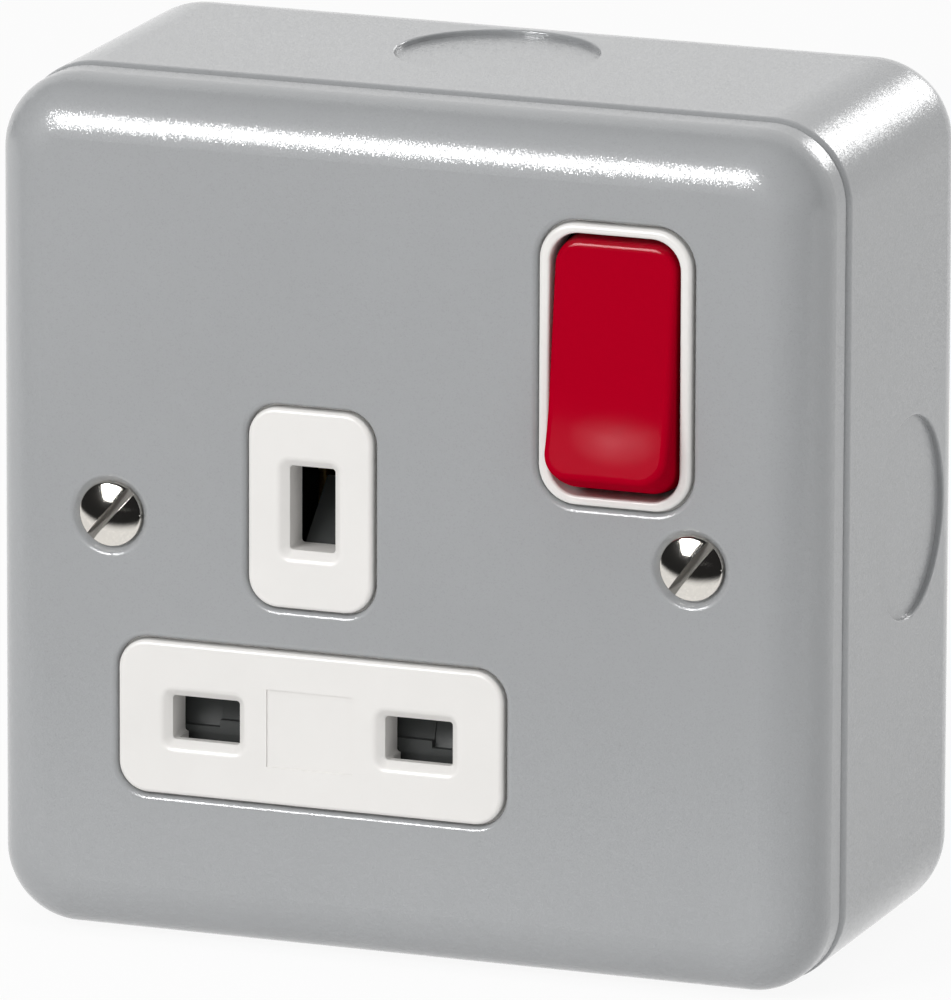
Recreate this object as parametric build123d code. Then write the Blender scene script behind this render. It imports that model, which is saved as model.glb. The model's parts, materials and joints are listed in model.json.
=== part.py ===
from build123d import *
import math
import os

# One gang metal clad switched socket with a steel surface box.
# The pieces are modelled in the wall's own frame: x to the right, y up the wall and z out into the room,
# with z = 0 on the wall. Finished pieces are stood up at the end, so that +Z is up and the front faces -Y.
# All sizes are in millimetres. The switch is modelled off and the shutter closed.

# Steel box
box_width = 86.3
box_depth = 36.5
box_corner_radius = 8.2
box_back_radius = 7.2
box_wall = 1.2
box_rim_radius = 0.9
wall_hole_spacing = 50.8
wall_hole_diameter = 5.0

# Knock-outs in the four sides and the back of the box
knockout_diameter = 20.2
knockout_depth = 0.55
knockout_from_rim = 18.8
knockout_edge_radius = 0.2

# Pressed front plate
plate_setback = 0.3
plate_depth = 8.4
plate_corner_radius = 7.7
plate_edge_radius = 5.6
plate_thickness = 1.2
plate_lip_radius = 0.6
plate_rim_radius = 0.3
cutout_gap = 0.25
stud_diameter = 3.0
stud_length = 8.0

# Plate fixing screws, their dimples and the tapped lugs in the box
screw_spacing = 60.3
screw_diameter = 3.5
screw_head_diameter = 6.5
screw_head_land = 0.6
screw_dome = 0.8
screw_length = 16.0
screw_slot_width = 0.9
screw_slot_depth = 1.0
screw_slot_angles = (49.0, 52.0)
dimple_diameter = 8.0
dimple_hole_diameter = 4.0
lug_height = 9.0
lug_thickness = 1.6
lug_reach = 4.0
lug_setback = 1.0
lug_leg = 6.2
lug_collar_radius = 3.0
lug_collar_height = 1.6
thread_clearance = 0.05
head_clearance = 0.05

# Socket face, with the pins of the standard 13 A plug
socket_axis_x = -9.1
pin_row_from_bottom = 22.9
pin_spacing = 22.23
earth_rise = 22.23
flat_pin_width = 6.35
flat_pin_height = 3.97
earth_pin_width = 3.97
earth_pin_height = 7.97
earth_pin_reach = 22.7
pin_clearance = 0.35
earth_pin_clearance = 0.4
flat_pin_room = 0.24
aperture_corner_radius = 0.35
mouth_bevel = 0.85
mouth_softness = 0.8
aperture_lip = 1.7
pin_boss_width = 40.1
pin_boss_height = 15.4
earth_boss_width = 12.9
earth_boss_height = 20.0
boss_corner_radius = 3.0
boss_proud = 0.3
boss_edge_radius = 0.45
panel_width = 9.0
panel_height = 7.8
panel_depth = 0.15

# Front and rear mouldings
front_wall = 2.7
moulding_wall = 2.0
front_moulding_depth = 15.7
rear_wall_height = 4.0
floor_thickness = 3.0
moulding_corner_radius = 1.2
side_margin = 0.4
end_margin = 0.25
foot_margin = 1.25
switch_margin = 3.35
waist_margin = 1.2
lug_clearance = 0.45
stud_clearance = 0.2
ear_radius = 3.0
stud_below_terminal = 3.8
right_stud_y = -22.0
right_stud_reach = 6.0
pillar_radius = 2.4
pillar_inset = 3.2
moulding_screw_radius = 1.2
moulding_screw_length = 13.0
moulding_screw_head_radius = 2.2
moulding_screw_head = 1.6

# Switch rocker
switch_x = 22.3
bezel_above_screw = 1.35
bezel_ring_side = 1.1
bezel_ring_end = 0.95
bezel_corner_radius = 3.8
rocker_width = 12.6
rocker_end_radius = 12.6
rocker_corner_radius = 2.6
rocker_edge_radius = 0.7
rocker_gap = 0.4
rocker_crown = 4.5
rocker_face_slope = 1.2
rocker_kick_place = 3.2
rocker_kick_radius = 28.0
rocker_skirt = 1.6
rocker_wall = 1.6
rocker_pivot_depth = 3.5
rocker_tilt = 8.3
well_edge_radius = 0.3
well_depth = 9.0
trunnion_radius = 1.4
trunnion_length = 1.4
pivot_clearance = 0.05
cheek_thickness = 2.2
cheek_height = 9.0
cheek_depth = 4.5

# Sprung plungers and see-saw contacts, one set for each pole
pole_offset = 3.3
plunger_reach = 11.0
plunger_radius = 1.4
plunger_length = 6.0
plunger_clearance = 0.06
tube_radius = 2.3
tube_reach = 8.0
bore_end = 0.8
contact_thickness = 1.2
contact_width = 4.2
contact_arm = 7.0
contact_groove = 0.5
groove_half_angle = 60.0
contact_clearance = 0.15
fulcrum_clearance = 0.08
tip_radius = 1.3
tip_thickness = 0.5
tip_place = 5.8
tip_gap = 0.05
barrier_thickness = 1.2
barrier_height = 8.0

# Brass contacts and terminals
strap_width = 3.6
strap_thickness = 0.8
strap_clearance = 0.2
clip_thickness = 0.8
clip_grip = 0.15
clip_root_room = 0.35
clip_flare = 0.7
clip_flare_length = 2.2
flat_clip_width = 6.0
flat_clip_height = 11.6
earth_clip_width = 7.0
earth_clip_height = 6.0
tower_wall = 1.2
tower_room = 0.8
line_run_offset = 15.4
neutral_run_drop = 4.9
terminal_width = 5.4
terminal_height = 7.0
terminal_depth = 10.5
terminal_clearance = 0.15
terminal_top_gap = 0.2
terminal_spacing = 7.0
wire_way_radius = 1.8
wire_way_from_back = 3.0
housing_wall = 1.4
housing_lip = 0.4
housing_clearance = 0.3
terminal_screw_radius = 1.5
terminal_screw_head_radius = 2.3
terminal_screw_head = 1.6
link_width = 6.0
link_clearance = 0.3
washer_thickness = 0.5
washer_radius = 3.0
nut_width = 5.5
nut_height = 2.4

# Shutter behind the pin apertures
shutter_thickness = 3.0
shutter_clearance = 0.3
shutter_travel = 5.4
shutter_overlap = 0.75
shutter_bar_height = 7.4
shutter_side = 1.0
shutter_stem_width = 4.2
cam_depth = 5.9
cam_foot = 2.0
ledge_outer_drop = 1.65
ledge_inner_drop = 0.9
ledge_step = 0.7
blade_slope = 1.4
stop_gap = 0.15
guide_thickness = 1.5
guide_height = 12.0

# Coil springs
plunger_spring_radius = 0.95
plunger_spring_wire = 0.32
plunger_spring_turns = 4
shutter_spring_radius = 1.4
shutter_spring_wire = 0.34
shutter_spring_turns = 5
spring_peg_radius = 1.0
spring_peg_length = 1.6
spring_end_gap = 0.1

# Earth terminal on the floor of the box
box_earth_from_side = 13.15
box_earth_side = 8.0
box_earth_height = 7.0
box_earth_bore_height = 3.2

# Levels from the wall outwards
plate_width = box_width - 2 * plate_setback
plate_face_z = box_depth + plate_depth
plate_back_z = plate_face_z - plate_thickness
boss_face_z = plate_face_z + boss_proud
wall_back_z = plate_back_z - front_wall
split_z = plate_back_z - front_moulding_depth
floor_front_z = split_z - rear_wall_height
floor_back_z = floor_front_z - floor_thickness
lug_top_z = box_depth - lug_setback
knockout_z = box_depth - knockout_from_rim
shutter_front_z = wall_back_z - shutter_clearance
shutter_back_z = shutter_front_z - shutter_thickness

# Places on the face
plate_half = plate_width / 2
pin_row_y = pin_row_from_bottom - plate_half
bezel_width = rocker_width + 2 * (rocker_gap + bezel_ring_side)
bezel_height = 2 * (rocker_end_radius + rocker_gap + bezel_ring_end)
switch_y = dimple_diameter / 2 + bezel_above_screw + bezel_height / 2
screw_xs = (-screw_spacing / 2, screw_spacing / 2)
earth_y = pin_row_y + earth_rise
neutral_x = socket_axis_x - pin_spacing / 2
line_x = socket_axis_x + pin_spacing / 2
aperture_width = flat_pin_width + 2 * pin_clearance
aperture_height = flat_pin_height + 2 * flat_pin_room
earth_aperture_width = earth_pin_width + 2 * earth_pin_clearance
earth_aperture_height = earth_pin_height + 2 * flat_pin_room
aperture_bottom = pin_row_y - aperture_height / 2
aperture_top = pin_row_y + aperture_height / 2

# Outline of the mouldings behind the plate
notch_half_height = lug_height / 2 + lug_clearance
notch_x = -(screw_spacing / 2 - lug_reach - lug_clearance)
moulding_left = socket_axis_x - pin_boss_width / 2 - side_margin
moulding_bottom = plate_edge_radius + foot_margin - plate_half
moulding_top = plate_half - plate_edge_radius - end_margin
moulding_right = switch_x + bezel_width / 2 + switch_margin
line_run_x = line_x + line_run_offset
line_jog_y = notch_half_height + moulding_wall + strap_width / 2 + strap_clearance
neutral_run_y = switch_y - neutral_run_drop
waist_right = line_run_x + strap_width / 2 + waist_margin
right_stud = (waist_right + right_stud_reach, right_stud_y)
pillar_places = (
    (moulding_left + pillar_inset, moulding_bottom + pillar_inset),
    (waist_right - pillar_inset, moulding_bottom + pillar_inset),
    (moulding_left + pillar_inset, moulding_top - pillar_inset),
)

# Switch levels, measured back from the rocker's pivot
pivot_z = boss_face_z - rocker_pivot_depth
tilt = math.radians(rocker_tilt)
contact_front_z = pivot_z - plunger_reach - contact_clearance
contact_heel = contact_thickness / math.cos(tilt) - contact_groove
fulcrum_z = contact_front_z - contact_heel
closed_back_z = fulcrum_z - contact_groove * math.cos(tilt)
fixed_tip_front_z = closed_back_z - tip_thickness - tip_gap
fixed_arm_front_z = fixed_tip_front_z - tip_thickness
fixed_tip_y = switch_y + tip_place + contact_heel * math.sin(tilt)
line_pole_x = switch_x + pole_offset
neutral_pole_x = switch_x - pole_offset

# Terminal levels and places, all in one row under the top wall
terminal_front_z = fixed_arm_front_z - strap_thickness
terminal_back_z = terminal_front_z - terminal_depth
wire_way_z = terminal_back_z + wire_way_from_back
terminal_high_y = moulding_top - moulding_wall - terminal_top_gap
terminal_low_y = terminal_high_y - terminal_height
left_stud = (moulding_left - 2 * link_clearance - strap_thickness - washer_radius,
             terminal_low_y - stud_below_terminal)
earth_terminal_x = (pillar_places[0][0] + moulding_screw_head_radius + housing_clearance
                    + housing_wall + terminal_width / 2)
earth_terminal_xs = (earth_terminal_x, earth_terminal_x + terminal_spacing)
terminal_xs = earth_terminal_xs + (neutral_pole_x, line_pole_x)
strap_front_z = floor_front_z + strap_thickness
earth_strap_back_z = terminal_front_z
earth_strap_front_z = earth_strap_back_z + strap_thickness

# Shutter places
shutter_top = aperture_top + shutter_overlap
shutter_bottom = shutter_top - shutter_bar_height
shutter_half_width = pin_spacing / 2 + aperture_width / 2 + shutter_side
cam_top = earth_y - earth_pin_height / 2 + shutter_travel - shutter_clearance
cam_front_low = cam_top - cam_depth + cam_foot / 4
spring_seat_y = moulding_bottom + moulding_wall
box_earth_y = box_earth_from_side - box_width / 2


def block(x_low, x_high, y_low, y_high, z_low, z_high):
    """A box given by its two corners."""
    middle = Pos((x_low + x_high) / 2, (y_low + y_high) / 2, (z_low + z_high) / 2)
    return middle * Box(x_high - x_low, y_high - y_low, z_high - z_low)


def rod(x, y, z_low, z_high, radius):
    """A round bar along z."""
    return Pos(x, y, (z_low + z_high) / 2) * Cylinder(radius, z_high - z_low)


def cross_rod(x_low, x_high, y, z, radius):
    """A round bar along x."""
    return Pos((x_low + x_high) / 2, y, z) * Rot(0, 90, 0) * Cylinder(radius, x_high - x_low)


def upright_rod(x, y_low, y_high, z, radius):
    """A round bar along y."""
    return Pos(x, (y_low + y_high) / 2, z) * Rot(90, 0, 0) * Cylinder(radius, y_high - y_low)


def rounded_prism(x, y, width, height, corner_radius, z_low, z_high):
    """A rounded rectangle carried along z."""
    return extrude(Pos(x, y, z_low) * RectangleRounded(width, height, corner_radius), z_high - z_low)


def side_profile(points, x_middle, width):
    """A closed outline of (y, z) points carried along x."""
    outline = Plane.YZ * make_face(Polyline(*points, close=True))
    return Pos(x_middle, 0, 0) * extrude(outline, width / 2, both=True)


def tray(width, corner_radius, edge_radius, flat_z, open_z):
    """A square block with rounded corners, and rounded edges round its end at flat_z."""
    low_z = min(flat_z, open_z)
    body = rounded_prism(0, 0, width, width, corner_radius, low_z, max(flat_z, open_z))
    ends = body.faces().sort_by(Axis.Z)
    flat_end = ends[0] if flat_z == low_z else ends[-1]
    return fillet(flat_end.edges(), edge_radius)


def about_pivot(shape, y, z, degrees):
    """Turn a shape about the line along x through (y, z)."""
    return Pos(0, y, z) * Rot(degrees, 0, 0) * Pos(0, -y, -z) * shape


def strap(points, z_low):
    """A flat strap of brass through axis-parallel points, with square corners."""
    reach = strap_width / 2
    runs = []
    for start, end in zip(points, points[1:]):
        xs = sorted((start[0], end[0]))
        ys = sorted((start[1], end[1]))
        runs.append(block(xs[0] - reach, xs[1] + reach, ys[0] - reach, ys[1] + reach,
                          z_low, z_low + strap_thickness))
    return sum(runs[1:], runs[0])


# Steel box

def knockout_planes():
    """One plane on each side wall and one on the back, each facing outwards."""
    planes = []
    for turn in (0, 90, 180, 270):
        out = Vector(math.cos(math.radians(turn)), math.sin(math.radians(turn)), 0)
        planes.append(Plane(origin=out * (box_width / 2) + Vector(0, 0, knockout_z),
                            x_dir=(0, 0, 1), z_dir=out))
    planes.append(Plane(origin=(0, 0, 0), x_dir=(1, 0, 0), z_dir=(0, 0, -1)))
    return planes


def make_back_box():
    """Drawn steel box; each knock-out is a disc sheared part of the way in."""
    body = tray(box_width, box_corner_radius, box_back_radius, 0, box_depth)
    inner_width = box_width - 2 * box_wall
    body -= tray(inner_width, box_corner_radius - box_wall, box_back_radius - box_wall,
                 box_wall, box_depth + box_wall)
    rim = body.faces().filter_by(Axis.Z).sort_by(Axis.Z)[-1]
    body = fillet(rim.outer_wire().edges(), box_rim_radius)
    disc = Cylinder(knockout_diameter / 2, knockout_depth)
    for plane in knockout_planes():
        body -= plane * Pos(0, 0, -knockout_depth / 2) * disc
        body += plane * Pos(0, 0, -box_wall - knockout_depth / 2) * disc
    rings = []
    for plane in knockout_planes():
        for edge in body.edges().filter_by(GeomType.CIRCLE):
            if (edge.arc_center - plane.origin).length < box_wall / 100:
                rings.append(edge)
    body = fillet(rings, knockout_edge_radius)
    hole_place = wall_hole_spacing / 2
    for x in (-hole_place, hole_place):
        for y in (-hole_place, hole_place):
            body -= rod(x, y, -box_wall, 2 * box_wall, wall_hole_diameter / 2)
    return body


def make_box_fixing_lugs():
    """Two bent steel lugs with extruded, tapped holes, welded inside the box."""
    wall_x = box_width / 2 - box_wall
    screw_x = screw_spacing / 2
    inner_x = screw_x - lug_reach
    half = lug_height / 2
    lug = block(inner_x, wall_x, -half, half, lug_top_z - lug_thickness, lug_top_z)
    lug += block(wall_x - lug_thickness, wall_x, -half, half, lug_top_z - lug_leg, lug_top_z)
    bend_edges = lug.edges().filter_by(Axis.Y)
    outer = bend_edges.sort_by_distance((wall_x, 0, lug_top_z))[0]
    lug = fillet(outer, lug_thickness)
    lug += rod(screw_x, 0, lug_top_z - lug_thickness - lug_collar_height, lug_top_z, lug_collar_radius)
    lug -= rod(screw_x, 0, lug_top_z - lug_leg, lug_top_z + lug_leg, screw_diameter / 2 + thread_clearance)
    return lug + mirror(lug, Plane.YZ)


def make_box_earth_terminal():
    """Brass block on the floor of the box for the box's own earth wire."""
    half = box_earth_side / 2
    top_z = box_wall + box_earth_height
    body = block(-half, half, box_earth_y - half, box_earth_y + half, box_wall, top_z)
    body -= cross_rod(-box_earth_side, box_earth_side, box_earth_y, box_wall + box_earth_bore_height,
                      wire_way_radius)
    body -= rod(0, box_earth_y, box_wall + box_earth_bore_height, top_z + box_wall,
                terminal_screw_radius + thread_clearance)
    return body


def make_box_earth_screw():
    """Clamping screw of the box's earth terminal."""
    top_z = box_wall + box_earth_height
    tip_z = box_wall + box_earth_bore_height + wire_way_radius / 2
    return terminal_screw(0, box_earth_y, tip_z, top_z, 1)


# Front plate

def make_front_plate():
    """Pressed steel plate with three cut-outs, two screw dimples and two welded studs behind."""
    plate = tray(plate_width, plate_corner_radius, plate_edge_radius, plate_face_z, box_depth)
    plate -= tray(plate_width - 2 * plate_thickness, plate_corner_radius - plate_thickness,
                  plate_edge_radius - plate_thickness, plate_back_z, box_depth - plate_thickness)
    rim = plate.faces().filter_by(Axis.Z).sort_by(Axis.Z)[0]
    plate = fillet(rim.outer_wire().edges(), plate_rim_radius)
    for x, y, width, height, radius in boss_outlines():
        plate -= rounded_prism(x, y, width + 2 * cutout_gap, height + 2 * cutout_gap, radius + cutout_gap,
                               plate_back_z - plate_thickness, plate_face_z + plate_thickness)
    top_radius = dimple_diameter / 2
    hole_radius = dimple_hole_diameter / 2
    cone_depth = top_radius - hole_radius
    sheet = plate_thickness * math.sqrt(2)
    for x in screw_xs:
        bump_depth = cone_depth - plate_thickness + plate_thickness / 4
        bump = Cone(top_radius - cone_depth + sheet - plate_thickness / 4,
                    top_radius - plate_thickness + sheet, bump_depth)
        plate += Pos(x, 0, plate_back_z - bump_depth / 2) * bump
        plate -= Pos(x, 0, plate_face_z - cone_depth / 2) * Cone(hole_radius, top_radius, cone_depth)
        plate -= rod(x, 0, plate_face_z - 2 * cone_depth, plate_face_z, hole_radius)
    face = plate.faces().filter_by(Axis.Z).sort_by(Axis.Z)[-1]
    lips = [edge for wire in face.inner_wires() for edge in wire.edges()]
    plate = fillet(lips, plate_lip_radius)
    for x, y in (left_stud, right_stud):
        plate += rod(x, y, plate_back_z - stud_length, plate_back_z, stud_diameter / 2)
    return plate


def make_fixing_screws():
    """Two raised countersunk screws with single slots."""
    head_radius = screw_head_diameter / 2
    shank_radius = screw_diameter / 2
    cone_depth = head_radius - shank_radius
    seat_z = plate_face_z - (dimple_diameter / 2 - head_radius) + head_clearance
    rim_z = seat_z + screw_head_land
    ball_radius = (screw_dome ** 2 + head_radius ** 2) / (2 * screw_dome)
    dome = Pos(0, 0, rim_z + screw_dome - ball_radius) * Sphere(ball_radius)
    screw = dome & rod(0, 0, rim_z, rim_z + screw_dome, head_radius)
    screw += rod(0, 0, seat_z, rim_z, head_radius)
    screw += Pos(0, 0, seat_z - cone_depth / 2) * Cone(shank_radius, head_radius, cone_depth)
    shank = rod(0, 0, seat_z - screw_length, seat_z - cone_depth, shank_radius)
    point = shank.faces().sort_by(Axis.Z)[0]
    screw += chamfer(point.edges(), shank_radius / 3)
    slot_floor_z = rim_z + screw_dome - screw_slot_depth
    slot = block(-head_radius, head_radius, -screw_slot_width / 2, screw_slot_width / 2,
                 slot_floor_z, rim_z + 2 * screw_dome)
    screws = []
    for x, angle in zip(screw_xs, screw_slot_angles):
        screws.append(Pos(x, 0, 0) * (screw - Rot(0, 0, angle) * slot))
    return screws[0] + screws[1]


# Mouldings

def boss_outlines():
    """Centre, size and corner radius of the earth boss, the pin boss and the switch surround."""
    return (
        (socket_axis_x, earth_y, earth_boss_width, earth_boss_height, boss_corner_radius),
        (socket_axis_x, pin_row_y, pin_boss_width, pin_boss_height, boss_corner_radius),
        (switch_x, switch_y, bezel_width, bezel_height, bezel_corner_radius),
    )


def moulding_outline(inset):
    """Outline of the mouldings behind the plate, cut away for the left lug, drawn in by inset."""
    def between(x_low, x_high, y_low, y_high):
        return Pos((x_low + x_high) / 2, (y_low + y_high) / 2) * Rectangle(x_high - x_low, y_high - y_low)

    outline = between(moulding_left + inset, waist_right - inset, moulding_bottom + inset, moulding_top - inset)
    outline += between(line_x, moulding_right - inset, notch_half_height + inset, moulding_top - inset)
    outline -= between(moulding_left - moulding_wall, notch_x + inset,
                       -notch_half_height - inset, notch_half_height + inset)
    return fillet(outline.vertices(), moulding_corner_radius)


def slab(inset, z_low, z_high):
    """The mouldings' outline carried from z_low to z_high."""
    return extrude(Pos(0, 0, z_low) * moulding_outline(inset), z_high - z_low)


def stud_ear(stud, body_x):
    """Ear of the front moulding round a plate stud, reaching back to the body at body_x."""
    x, y = stud
    xs = sorted((x, body_x))
    ear = block(xs[0], xs[1], y - ear_radius, y + ear_radius, wall_back_z, plate_back_z)
    return ear + rod(x, y, wall_back_z, plate_back_z, ear_radius)


def make_front_moulding():
    """White socket front: one moulding with both bosses, the switch surround and the shutter guides."""
    body = slab(0, split_z, plate_back_z) - slab(moulding_wall, split_z - moulding_wall, wall_back_z)
    body += stud_ear(left_stud, moulding_left + moulding_wall)
    body += stud_ear(right_stud, waist_right - moulding_wall)
    for x, y in (left_stud, right_stud):
        body -= rod(x, y, split_z, boss_face_z, stud_diameter / 2 + stud_clearance)
    for x, y, width, height, radius in boss_outlines():
        body += rounded_prism(x, y, width, height, radius, wall_back_z, boss_face_z)
    boss_faces = body.faces().filter_by(Axis.Z).group_by(Axis.Z)[-1]
    body = fillet(boss_faces.edges(), boss_edge_radius)
    body = cut_apertures(body)
    body = cut_switch_well(body)
    return add_shutter_guides(body)


def cut_apertures(body):
    """Three pin apertures with bevelled mouths, and the bare panel between the lower two."""
    throats = (
        (neutral_x, pin_row_y, aperture_width, aperture_height),
        (line_x, pin_row_y, aperture_width, aperture_height),
        (socket_axis_x, earth_y, earth_aperture_width, earth_aperture_height),
    )
    for x, y, width, height in throats:
        body -= rounded_prism(x, y, width, height, aperture_corner_radius,
                              wall_back_z - front_wall, boss_face_z + front_wall)
    boss_faces = body.faces().filter_by(Axis.Z).group_by(Axis.Z)[-1]
    mouths = [edge for face in boss_faces for wire in face.inner_wires() for edge in wire.edges()]
    body = chamfer(mouths, mouth_bevel)
    boss_faces = body.faces().filter_by(Axis.Z).group_by(Axis.Z)[-1]
    rims = [edge for face in boss_faces for wire in face.inner_wires() for edge in wire.edges()]
    body = fillet(rims, mouth_softness)
    lip_z = boss_face_z - aperture_lip
    fall = lip_z - wall_back_z
    relief = ((aperture_bottom, lip_z), (aperture_bottom, wall_back_z), (aperture_bottom - fall, wall_back_z))
    for x in (neutral_x, line_x):
        body -= side_profile(relief, x, aperture_width - 2 * aperture_corner_radius)
    return body - block(socket_axis_x - panel_width / 2, socket_axis_x + panel_width / 2,
                        pin_row_y - panel_height / 2, pin_row_y + panel_height / 2,
                        boss_face_z - panel_depth, boss_face_z + panel_depth)


def cut_switch_well(body):
    """Opening for the rocker, with a cheek and a blind pivot hole on either side."""
    half_width = rocker_width / 2 + rocker_gap
    half_height = rocker_end_radius + rocker_gap
    for side in (-1, 1):
        xs = sorted((switch_x + side * half_width, switch_x + side * (half_width + cheek_thickness)))
        body += block(xs[0], xs[1], switch_y - cheek_height / 2, switch_y + cheek_height / 2,
                      wall_back_z - cheek_depth, wall_back_z)
    body -= rounded_prism(switch_x, switch_y, 2 * half_width, 2 * half_height, rocker_corner_radius + rocker_gap,
                          boss_face_z - well_depth, boss_face_z + well_depth)
    rims = body.faces().filter_by(Axis.Z).group_by(Axis.Z)[-1]
    surround = rims.sort_by_distance((switch_x, switch_y, boss_face_z))[0]
    well_edges = [edge for wire in surround.inner_wires() for edge in wire.edges()]
    body = fillet(well_edges, well_edge_radius)
    pivot_reach = half_width + trunnion_length
    return body - cross_rod(switch_x - pivot_reach, switch_x + pivot_reach, switch_y, pivot_z,
                            trunnion_radius + pivot_clearance)


def add_shutter_guides(body):
    """Guide ribs, stops and spring peg for the shutter, screw pillars, and the earth link's notch."""
    guide_back_z = shutter_back_z
    inner = shutter_half_width + shutter_clearance
    for side in (-1, 1):
        xs = sorted((socket_axis_x + side * inner, socket_axis_x + side * (inner + guide_thickness)))
        body += block(xs[0], xs[1], shutter_top - guide_height, shutter_top, guide_back_z, wall_back_z)
        near = shutter_stem_width / 2 + shutter_half_width / 2
        stops = sorted((socket_axis_x + side * near, socket_axis_x + side * inner))
        body += block(stops[0], stops[1], shutter_top + stop_gap, shutter_top + stop_gap + guide_thickness,
                      guide_back_z, wall_back_z)
    spring_z = (shutter_front_z + shutter_back_z) / 2
    body += upright_rod(socket_axis_x, moulding_bottom + moulding_wall / 2, spring_seat_y + spring_peg_length,
                        spring_z, spring_peg_radius)
    for x, y in pillar_places:
        body += rod(x, y, split_z, wall_back_z, pillar_radius)
        body -= rod(x, y, split_z, split_z + moulding_screw_length, moulding_screw_radius + thread_clearance)
    return body - block(moulding_left - moulding_wall, moulding_left + 2 * moulding_wall,
                        left_stud[1] - link_width / 2 - link_clearance,
                        left_stud[1] + link_width / 2 + link_clearance,
                        split_z, earth_strap_front_z + strap_thickness + link_clearance)


def make_rear_moulding():
    """Base moulding that carries the contacts and terminals and closes the switch from behind."""
    body = slab(0, floor_back_z, split_z) - slab(moulding_wall, floor_front_z, split_z + moulding_wall)
    body += terminal_housing(earth_terminal_xs) + terminal_housing((neutral_pole_x, line_pole_x))
    for x in (neutral_x, line_x):
        body += contact_tower(x)
    body += block(switch_x - barrier_thickness / 2, switch_x + barrier_thickness / 2,
                  neutral_run_y, terminal_high_y, floor_back_z, floor_front_z + barrier_height)
    rest_half = strap_width / 2
    rest_y = (neutral_run_y + strap_width + terminal_low_y) / 2
    body += block(socket_axis_x - rest_half, socket_axis_x + rest_half, rest_y - rest_half / 2,
                  rest_y + rest_half / 2, floor_back_z, earth_strap_back_z)
    for x, y in pillar_places:
        body += rod(x, y, floor_front_z, split_z, pillar_radius)
        body -= rod(x, y, floor_back_z, split_z, moulding_screw_radius + stud_clearance)
    body -= block(socket_axis_x - earth_aperture_width / 2, socket_axis_x + earth_aperture_width / 2,
                  earth_y - earth_aperture_height / 2, earth_y + earth_aperture_height / 2,
                  boss_face_z - earth_pin_reach - moulding_wall / 2, split_z)
    room = terminal_clearance
    for x in terminal_xs:
        body -= block(x - terminal_width / 2 - room, x + terminal_width / 2 + room,
                      terminal_low_y - room, terminal_high_y + room,
                      terminal_back_z - terminal_depth, terminal_front_z + room)
        body -= upright_rod(x, terminal_high_y, moulding_top + moulding_wall, wire_way_z, wire_way_radius + room)
    for route in (line_route(), neutral_route()):
        body -= strap_channel(route)
    return body - block(moulding_left - moulding_wall, moulding_left + moulding_wall,
                        left_stud[1] - link_width / 2 - link_clearance,
                        left_stud[1] + link_width / 2 + link_clearance,
                        earth_strap_back_z, split_z)


def terminal_housing(xs):
    """Walls behind the floor round a pair of terminals."""
    return block(min(xs) - terminal_width / 2 - housing_wall, max(xs) + terminal_width / 2 + housing_wall,
                 terminal_low_y - housing_wall, moulding_top, terminal_back_z - housing_lip, floor_front_z)


def contact_tower(x):
    """Square tower round a line or neutral pin contact; the shutter slides across its end."""
    half_x = flat_clip_width / 2 + tower_room
    half_y = flat_pin_height / 2 - clip_grip + clip_flare + clip_thickness + tower_room / 2
    top_z = shutter_back_z - shutter_clearance
    tower = block(x - half_x - tower_wall, x + half_x + tower_wall,
                  pin_row_y - half_y - tower_wall, pin_row_y + half_y + tower_wall, floor_back_z, top_z)
    return tower - block(x - half_x, x + half_x, pin_row_y - half_y, pin_row_y + half_y,
                         floor_front_z, top_z + tower_wall)


def strap_channel(route):
    """Room for a strap where it crosses walls and ribs on the floor."""
    reach = strap_width / 2 + strap_clearance
    runs = []
    for start, end in zip(route, route[1:]):
        xs = sorted((start[0], end[0]))
        ys = sorted((start[1], end[1]))
        runs.append(block(xs[0] - reach, xs[1] + reach, ys[0] - reach, ys[1] + reach,
                          floor_front_z, strap_front_z + strap_clearance))
    return sum(runs[1:], runs[0])


def make_moulding_screws():
    """Three screws that hold the two mouldings together."""
    screws = []
    for x, y in pillar_places:
        screw = rod(x, y, floor_back_z, floor_back_z + moulding_screw_length, moulding_screw_radius)
        head = rod(x, y, floor_back_z - moulding_screw_head, floor_back_z, moulding_screw_head_radius)
        outer = head.faces().sort_by(Axis.Z)[0]
        screw += fillet(outer.edges(), moulding_screw_head / 2)
        screw -= block(x - moulding_screw_head_radius, x + moulding_screw_head_radius,
                       y - screw_slot_width / 2, y + screw_slot_width / 2,
                       floor_back_z - 2 * moulding_screw_head, floor_back_z - moulding_screw_head / 2)
        screws.append(screw)
    return sum(screws[1:], screws[0])


def stud_stack():
    """Each stud with the level of its washer's front face."""
    return ((left_stud, wall_back_z - strap_thickness), (right_stud, wall_back_z))


def make_stud_washers():
    """Plain washers on the plate studs."""
    washers = []
    for (x, y), seat_z in stud_stack():
        washer = rod(x, y, seat_z - washer_thickness, seat_z, washer_radius)
        washers.append(washer - rod(x, y, seat_z - stud_length, seat_z, stud_diameter / 2 + stud_clearance))
    return washers[0] + washers[1]


def make_stud_nuts():
    """Hexagon nuts on the plate studs."""
    nuts = []
    for (x, y), seat_z in stud_stack():
        top_z = seat_z - washer_thickness
        hexagon = RegularPolygon(nut_width / 2, 6, major_radius=False)
        nut = extrude(Pos(x, y, top_z - nut_height) * hexagon, nut_height)
        nuts.append(nut - rod(x, y, top_z - stud_length, top_z, stud_diameter / 2 + thread_clearance))
    return nuts[0] + nuts[1]


# Switch

def switched_off(shape):
    """Turn a piece of the rocker from mid travel to the off position."""
    return about_pivot(shape, switch_y, pivot_z, -rocker_tilt)


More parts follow.
